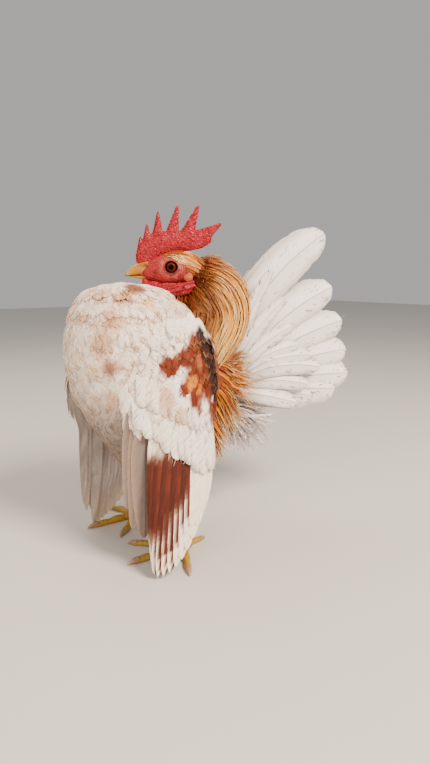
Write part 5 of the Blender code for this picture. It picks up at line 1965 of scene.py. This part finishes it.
@dataclass
class Beak:
    """The two halves of the beak, with the nostrils and the line of the gape."""

    head: Head
    upper: tuple = ((12, -4.2, 5.0, 6.0), (14.5, -4.4, 4.6, 5.4), (19.5, -5.2, 4.2, 4.8), (25, -5.6, 2.5, 3.4), (29.5, -5.8, -0.2, 2.1), (32.4, -6.2, -2.9, 1.0))
    lower: tuple = ((10, -9.3, -5.2, 4.6), (13, -9.2, -5.3, 4.2), (20, -8.5, -5.3, 3.4), (26, -7.5, -5.4, 2.2), (29.5, -6.7, -5.6, 1.0))
    nostril: tuple = (20.0, 4.3, 1.4)
    HORN, OLIVE, PALE = linear("BE7A06"), linear("6E5220"), linear("D0A850")

    def half(self, name: str, table: Sequence, tip: tuple[float, float, float], look: bpy.types.Material, node: str) -> bpy.types.Object:
        """One half, with its nostrils if it has them, and its colours."""
        forward = np.linspace(table[0][0], table[-1][0], 40)
        bottom, top, wide = np.moveaxis(curve(forward, table), -1, 0)
        centres = self.head.place(np.stack([forward, 0 * forward, (bottom + top) / 2], -1))
        rings = ellipses(centres, self.head.left[None], UP[None], np.stack([wide, (top - bottom) / 2], -1), 40)
        item = loft(f"{name}_horn", rings, None, self.head.place(np.array(tip)))
        points = points_of(item)
        local = self.head.local(points)
        mirrored = np.abs(local) * (0, 1, 0) + local * (1, 0, 1)
        far = np.linalg.norm((mirrored - self.nostril) / (1.9, 2.0, 1.0), axis=1)
        pit = np.exp(-(far**2)) * (name == "beak_upper")
        local[:, 1] -= np.sign(local[:, 1]) * 1.3 * pit
        set_points(item, self.head.place(local))
        colours = mix(self.HORN, self.OLIVE, 0.8 * (1 - ramp(far, 1.0, 2.6)) * (name == "beak_upper"))
        colours = mix(colours, self.PALE, ramp(local[:, 0], 26, 34))
        gape = 1 - ramp(np.abs(local[:, 2] + 5.0 + 0.05 * (local[:, 0] - 14)), 0.2, 0.8)
        paint(item, mix(colours, self.OLIVE * 0.5, 0.8 * gape))
        dress(item, look, "beak_horn", node)
        return item

    def build(self, look: bpy.types.Material) -> None:
        """Both halves."""
        self.half("beak_upper", self.upper, (33.8, 0, -6.0), look, "beak_upper")
        self.half("beak_lower", self.lower, (31, 0, -6.1), look, "beak_lower")


@dataclass
class FaceParts:
    """Wattles, ear lobes and eyes of both sides."""

    head: Head
    fold: tuple = (
        # order, forward, left, up, half width and half depth
        (0, 21, 4.0, -10.0, 1.6, 2.2),
        (1, 12, 6.6, -13.0, 2.2, 3.4),
        (2, 2, 8.2, -15.0, 2.4, 4.2),
        (3, -8, 9.0, -14.5, 2.4, 4.6),
        (4, -16, 8.6, -11.0, 1.6, 3.0),
    )
    lobe_at: tuple = (-11.5, 8.4, -6.6)
    lobe_radii: tuple = (3.5, 1.2, 3.2)
    eye_at: tuple = (0.0, 8.3, 0.0)
    eye_radius: float = 4.25

    def wattle(self, side: Side, look: bpy.types.Material) -> None:
        """The fold of bare skin below the beak and face."""
        values = curve(np.linspace(0, 4, 30), self.fold)
        path = self.head.place(values[:, :3] * (1, side.value, 1))
        body = path_tube("wattle", path, values[:, 3:], 28, self.head.left)
        item = fused(f"wattle_skin_{side.name.lower()}", [body], 0.45, 3)
        points, normal = points_of(item), normals_of(item)
        local = self.head.local(points)
        fold = 0.35 * np.cos(2 * np.pi * (local[:, 2] + 0.25 * local[:, 0]) / 3.4)
        points = points + normal * (fold + 0.18 * lump(points, 1.2, 4.0))[:, None]
        set_points(item, points)
        paint(item, mix(COMB_RED, FACE_RED, 0.7 * ramp(-local[:, 0], -10, 6)))
        dress(item, look, "face_red", f"wattle_{side.name.lower()}")

    def lobe(self, side: Side, look: bpy.types.Material) -> None:
        """The pale oval ear lobe."""
        turn = np.linspace(0, np.pi, 20)[1:-1]
        angle = np.linspace(0, 2 * np.pi, 36, endpoint=False)
        ball = np.stack([np.sin(turn)[:, None] * np.cos(angle), np.cos(turn)[:, None] + 0 * angle, np.sin(turn)[:, None] * np.sin(angle)], -1)
        at = np.array(self.lobe_at) * (1, side.value, 1)
        poles = [self.head.place(at + np.array(self.lobe_radii) * (0, sign, 0)) for sign in (1, -1)]
        item = loft(f"lobe_skin_{side.name.lower()}", self.head.place(at + ball * np.array(self.lobe_radii)), *poles)
        points = points_of(item)
        set_points(item, points + normals_of(item) * (0.15 * lump(points, 1.3, 5.0))[:, None])
        local = self.head.local(points) - at
        rim = ramp(np.hypot(local[:, 0] / 3.5, local[:, 2] / 3.2), 0.45, 0.95)
        paint(item, mix(mix(LOBE_TAN, GOLD, 0.45), FACE_RED, rim))
        dress(item, look, "lobe_tan", f"earlobe_{side.name.lower()}")

    def eye(self, side: Side, look: bpy.types.Material) -> None:
        """The eyeball with its bulging cornea; its map holds the angle from its axis."""
        rows, columns = 40, 48
        turn = np.linspace(0, np.pi, rows)[1:-1]
        angle = np.linspace(0, 2 * np.pi, columns, endpoint=False)
        bulge = 1 + 0.05 * (1 - ramp(turn, 0.5, 0.8))
        radius = self.eye_radius * bulge
        out = (radius * np.cos(turn))[:, None] + 0 * angle
        ball = np.stack([(radius * np.sin(turn))[:, None] * np.cos(angle), out * side.value, (radius * np.sin(turn))[:, None] * np.sin(angle)], -1)
        at = np.array(self.eye_at) * (1, side.value, 1)
        poles = [self.head.place(at + np.array((0, side.value * self.eye_radius * size, 0))) for size in (1.05, -1)]
        item = loft(f"eyeball_{side.name.lower()}", self.head.place(at + ball), *poles)
        sight = np.concatenate([np.repeat(turn, columns), (0, np.pi)])
        lay_uv(item, "sight", np.stack([sight, 0 * sight], -1))
        dress(item, look, "eye_brown", f"eye_{side.name.lower()}")

    def build(self, looks: Looks) -> None:
        """All of them."""
        for side in Side:
            self.wattle(side, looks.wattle)
            self.lobe(side, looks.lobe)
            self.eye(side, looks.eye)


@dataclass
class Leg:
    """A scaled shank and foot with claws and spur."""

    side: Side
    hock_at: tuple = (31.0, 13, 42)
    ankle_at: tuple = (34.0, 5, 9)
    toes: tuple = (
        # name, direction, length with its claw, claw length, radius
        ("middle", 0, 44, 7.5, 3.1),
        ("outer", 64, 40, 6.5, 2.8),
        ("inner", -43, 41, 6.5, 2.8),
        ("hind", 191, 22, 6.0, 2.5),
    )
    YELLOW, SHADE, HORN = linear("B8922E"), linear("8A6418"), linear("B08A70")

    def __post_init__(self) -> None:
        """Places the leg on its side."""
        self.word = self.side.name.lower()
        mirror = np.array((self.side.value, 1, 1))
        self.hock, self.ankle = self.hock_at * mirror, self.ankle_at * mirror

    def way(self, direction: float) -> Array:
        """The level unit vector along a toe."""
        angle = math.radians(direction)
        return np.array((self.side.value * math.sin(angle), -math.cos(angle), 0))

    def toe_line(self, direction: float, length: float, claw: float, radius: float) -> tuple[Array, Array]:
        """The middle line of a toe and its radius along it, from the foot to where its claw begins."""
        t = np.linspace(0, 1, 22)
        joints = 3 if length > 30 else 2
        half = radius * (1.05 - 0.35 * t) * (1 + 0.09 * np.cos(2 * np.pi * joints * t + np.pi))
        way = self.way(direction)
        return self.ankle * (1, 1, 0) + way * ((length - claw) * t + 1)[:, None] + UP * (half * 0.78)[:, None], half

    def toe(self, direction: float, length: float, claw: float, radius: float) -> bpy.types.Object:
        """A toe."""
        path, half = self.toe_line(direction, length, claw, radius)
        return path_tube("toe", path, np.stack([half, half], -1), 20, np.cross(self.way(direction), UP))

    def claw(self, direction: float, length: float, claw: float, radius: float) -> bpy.types.Object:
        """A claw that curves forward and down to the floor."""
        way = self.way(direction)
        t = np.linspace(-0.12, 0.95, 14)
        part = curve(t, ((-0.12, 0.66), (0.35, 0.56), (0.7, 0.36), (0.95, 0.12)))[:, 0] * radius
        rise = radius * (0.8 - 0.6 * t * t)
        path = self.ankle * (1, 1, 0) + way * (length - claw + claw * t)[:, None] + UP * np.maximum(rise, part + 0.1)[:, None]
        tip = self.ankle * (1, 1, 0) + way * length + UP * 0.35
        return path_tube("claw", path, np.stack([part, part * 1.1], -1), 16, np.cross(way, UP), tip)

    def build(self, looks: Looks) -> None:
        """The leg, its claws and its spur."""
        t = np.linspace(0, 1, 30)[:, None]
        path = self.hock * (1 - t) + self.ankle * t
        radius = 3.5 + 0.8 * np.abs(2 * t - 1) ** 2
        shank = path_tube("shank", path, radius * (0.9, 1.1), 24, np.array((1.0, 0, 0)))
        turn, angle = np.linspace(0, np.pi, 14)[1:-1, None], np.linspace(0, 2 * np.pi, 24, endpoint=False)
        ball = np.stack([np.sin(turn) * np.cos(angle), np.sin(turn) * np.sin(angle), np.cos(turn) + 0 * angle], -1)
        pad = loft("pad", self.ankle - UP * 4.6 + ball * (6.6, 7.0, 5.6))
        leg = fused(f"leg_{self.word}", [shank, pad, *(self.toe(*sizes) for _, *sizes in self.toes)], 0.55, 4)
        points = points_of(leg)
        points[:, 2] = points[:, 2].clip(0.02)
        set_points(leg, points)
        paint(leg, mix(self.YELLOW, self.SHADE, 0.3 + 0.3 * lump(points, 4.0)))
        nodes = [f"shank_{self.word}", f"foot_{self.word}"] + [f"toe_{name}_{self.word}" for name, *_ in self.toes]
        dress(leg, looks.scute, "leg_yellow", *nodes)
        lines = [(path, radius[:, 0] * 0.99)] + [self.toe_line(*sizes) for _, *sizes in self.toes]
        rings = rings_along(f"scutes_{self.word}", lines, looks.scute, 2.5, 1.11)
        points = points_of(rings)
        points[:, 2] = points[:, 2].clip(0.03)
        set_points(rings, points)
        paint(rings, mix(self.YELLOW, self.SHADE, 0.25 + 0.3 * lump(points, 5.0)))
        dress(rings, looks.scute, "leg_yellow")
        claws = [self.claw(*sizes) for _, *sizes in self.toes]
        item = merged(f"claws_{self.word}", claws)
        points = points_of(item)
        points[:, 2] = points[:, 2].clip(0.02)
        set_points(item, points)
        paint(item, mix(self.HORN, self.HORN * 0.5, 0.3 + 0.3 * lump(points, 2.0)))
        dress(item, looks.claw, "claw_horn", *(f"claw_{name}_{self.word}" for name, *_ in self.toes))
        root = self.hock * 0.45 + self.ankle * 0.55
        way = unit(np.array((-0.45 * self.side.value, 1.0, 0.05)))
        t = np.linspace(0, 0.96, 12)
        path = root + way * (1.5 + 10 * t)[:, None]
        sizes = curve(t, ((0, 2.0), (0.3, 1.7), (0.65, 1.1), (0.96, 0.3)))
        spur = path_tube(f"spur_horn_{self.word}", path, np.repeat(sizes, 2, 1), 16, np.cross(UP, way), root + way * 11.5)
        paint(spur, np.broadcast_to(self.HORN, (len(spur.data.vertices), 3)))
        dress(spur, looks.claw, "claw_horn", f"spur_{self.word}")


def merged(name: str, items: Sequence[bpy.types.Object]) -> bpy.types.Object:
    """One piece of several bodies."""
    whole = bmesh.new()
    for item in items:
        whole.from_mesh(item.data)
    mesh = bpy.data.meshes.new(name)
    whole.to_mesh(mesh)
    whole.free()
    drop(items)
    mesh.shade_smooth()
    joined = bpy.data.objects.new(name, mesh)
    bpy.context.scene.collection.objects.link(joined)
    return joined


# Studio


@dataclass
class Studio:
    """A pale floor, soft light from large panels, and the camera at the photo's angle."""

    eye: tuple = (357.32, -194.04, 191.0)
    azimuth: float = math.radians(55)
    pitch: float = math.radians(10.6)
    panels: tuple = (
        # x, y and z in metres, width in metres, watts
        (0.9, 0.15, 0.95, 0.4, 34.0),
        (0.6, -0.9, 0.6, 0.7, 8.0),
        (-0.6, -0.1, 0.9, 0.6, 5.0),
    )

    def build(self, floor_look: bpy.types.Material) -> None:
        """Floor, lights, world and camera."""
        mesh = bpy.data.meshes.new("floor")
        reach = 3.0
        mesh.from_pydata([(-reach, -reach, 0), (reach, -reach, 0), (reach, reach, 0), (-reach, reach, 0)], [], [(0, 1, 2, 3)])
        floor = bpy.data.objects.new("floor", mesh)
        floor.data.materials.append(floor_look)
        bpy.context.scene.collection.objects.link(floor)
        world = bpy.data.worlds.new("studio")
        world.use_nodes = True
        back = world.node_tree.nodes["Background"]
        back.inputs["Color"].default_value = (*linear("F4F1EC"), 1)
        back.inputs["Strength"].default_value = 0.52
        bpy.context.scene.world = world
        for index, (x, y, z, width, power) in enumerate(self.panels):
            light = bpy.data.lights.new(f"panel_{index}", "AREA")
            light.size, light.energy = width, power
            light.color = linear("FFEBD8")
            lamp = bpy.data.objects.new(light.name, light)
            lamp.location = (x, y, z)
            lamp.rotation_euler = (Vector((0, 0, 0.11)) - lamp.location).to_track_quat("-Z", "Y").to_euler()
            bpy.context.scene.collection.objects.link(lamp)
        data = bpy.data.cameras.new("camera")
        data.sensor_fit, data.sensor_height = "VERTICAL", 36
        data.lens = 574 / 764 * 36
        data.clip_start = 0.01
        camera = bpy.data.objects.new("camera", data)
        camera.location = (self.eye + STANCE) * MM
        cos = math.cos(self.pitch)
        look = Vector((-math.sin(self.azimuth) * cos, math.cos(self.azimuth) * cos, -math.sin(self.pitch)))
        camera.rotation_euler = look.to_track_quat("-Z", "Y").to_euler()
        bpy.context.scene.collection.objects.link(camera)
        bpy.context.scene.camera = camera


@dataclass
class SeramaCock:
    """The whole bird."""

    torso: Torso
    neck: Neck
    head: Head
    tail: Tail

    def __post_init__(self) -> None:
        """Sets out what follows from the forms, and the finishes."""
        self.wings = tuple(Wing(side) for side in Side)
        self.cover = Cover(self.torso, self.neck, self.wings)
        self.looks = Looks()

    def build(self) -> None:
        """Every piece, dressed."""
        looks = self.looks
        hide = Hide(self.torso, self.neck, self.head, self.wings)
        hide.build(looks.skin, looks.face, looks.bead)
        HeadPlumage(self.head, hide).build(looks.hackle)
        BodyPlumage(self.torso, self.cover).build(looks.body)
        ThighPlumage().build(looks.body)
        Hackle(self.neck).build(looks.hackle)
        Saddle(self.torso).build(looks.hackle)
        for wing in self.wings:
            plumage = WingPlumage(wing)
            plumage.flights(looks.flight)
            plumage.coverts(looks.body)
        TailPlumage(self.tail).build(looks.tail)
        Down().build(looks.down)
        Crest(self.head).build(looks.comb, looks.bead)
        Beak(self.head).build(looks.beak)
        FaceParts(self.head).build(looks)
        for side in Side:
            Leg(side).build(looks)


def main() -> None:
    """Builds the bird and its studio."""
    logging.basicConfig(level=logging.INFO, format="%(message)s")
    bird = SeramaCock(Torso(), Neck(), Head(), Tail())
    bird.build()
    Studio().build(bird.looks.floor)
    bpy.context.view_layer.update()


if __name__ == "__main__":
    main()
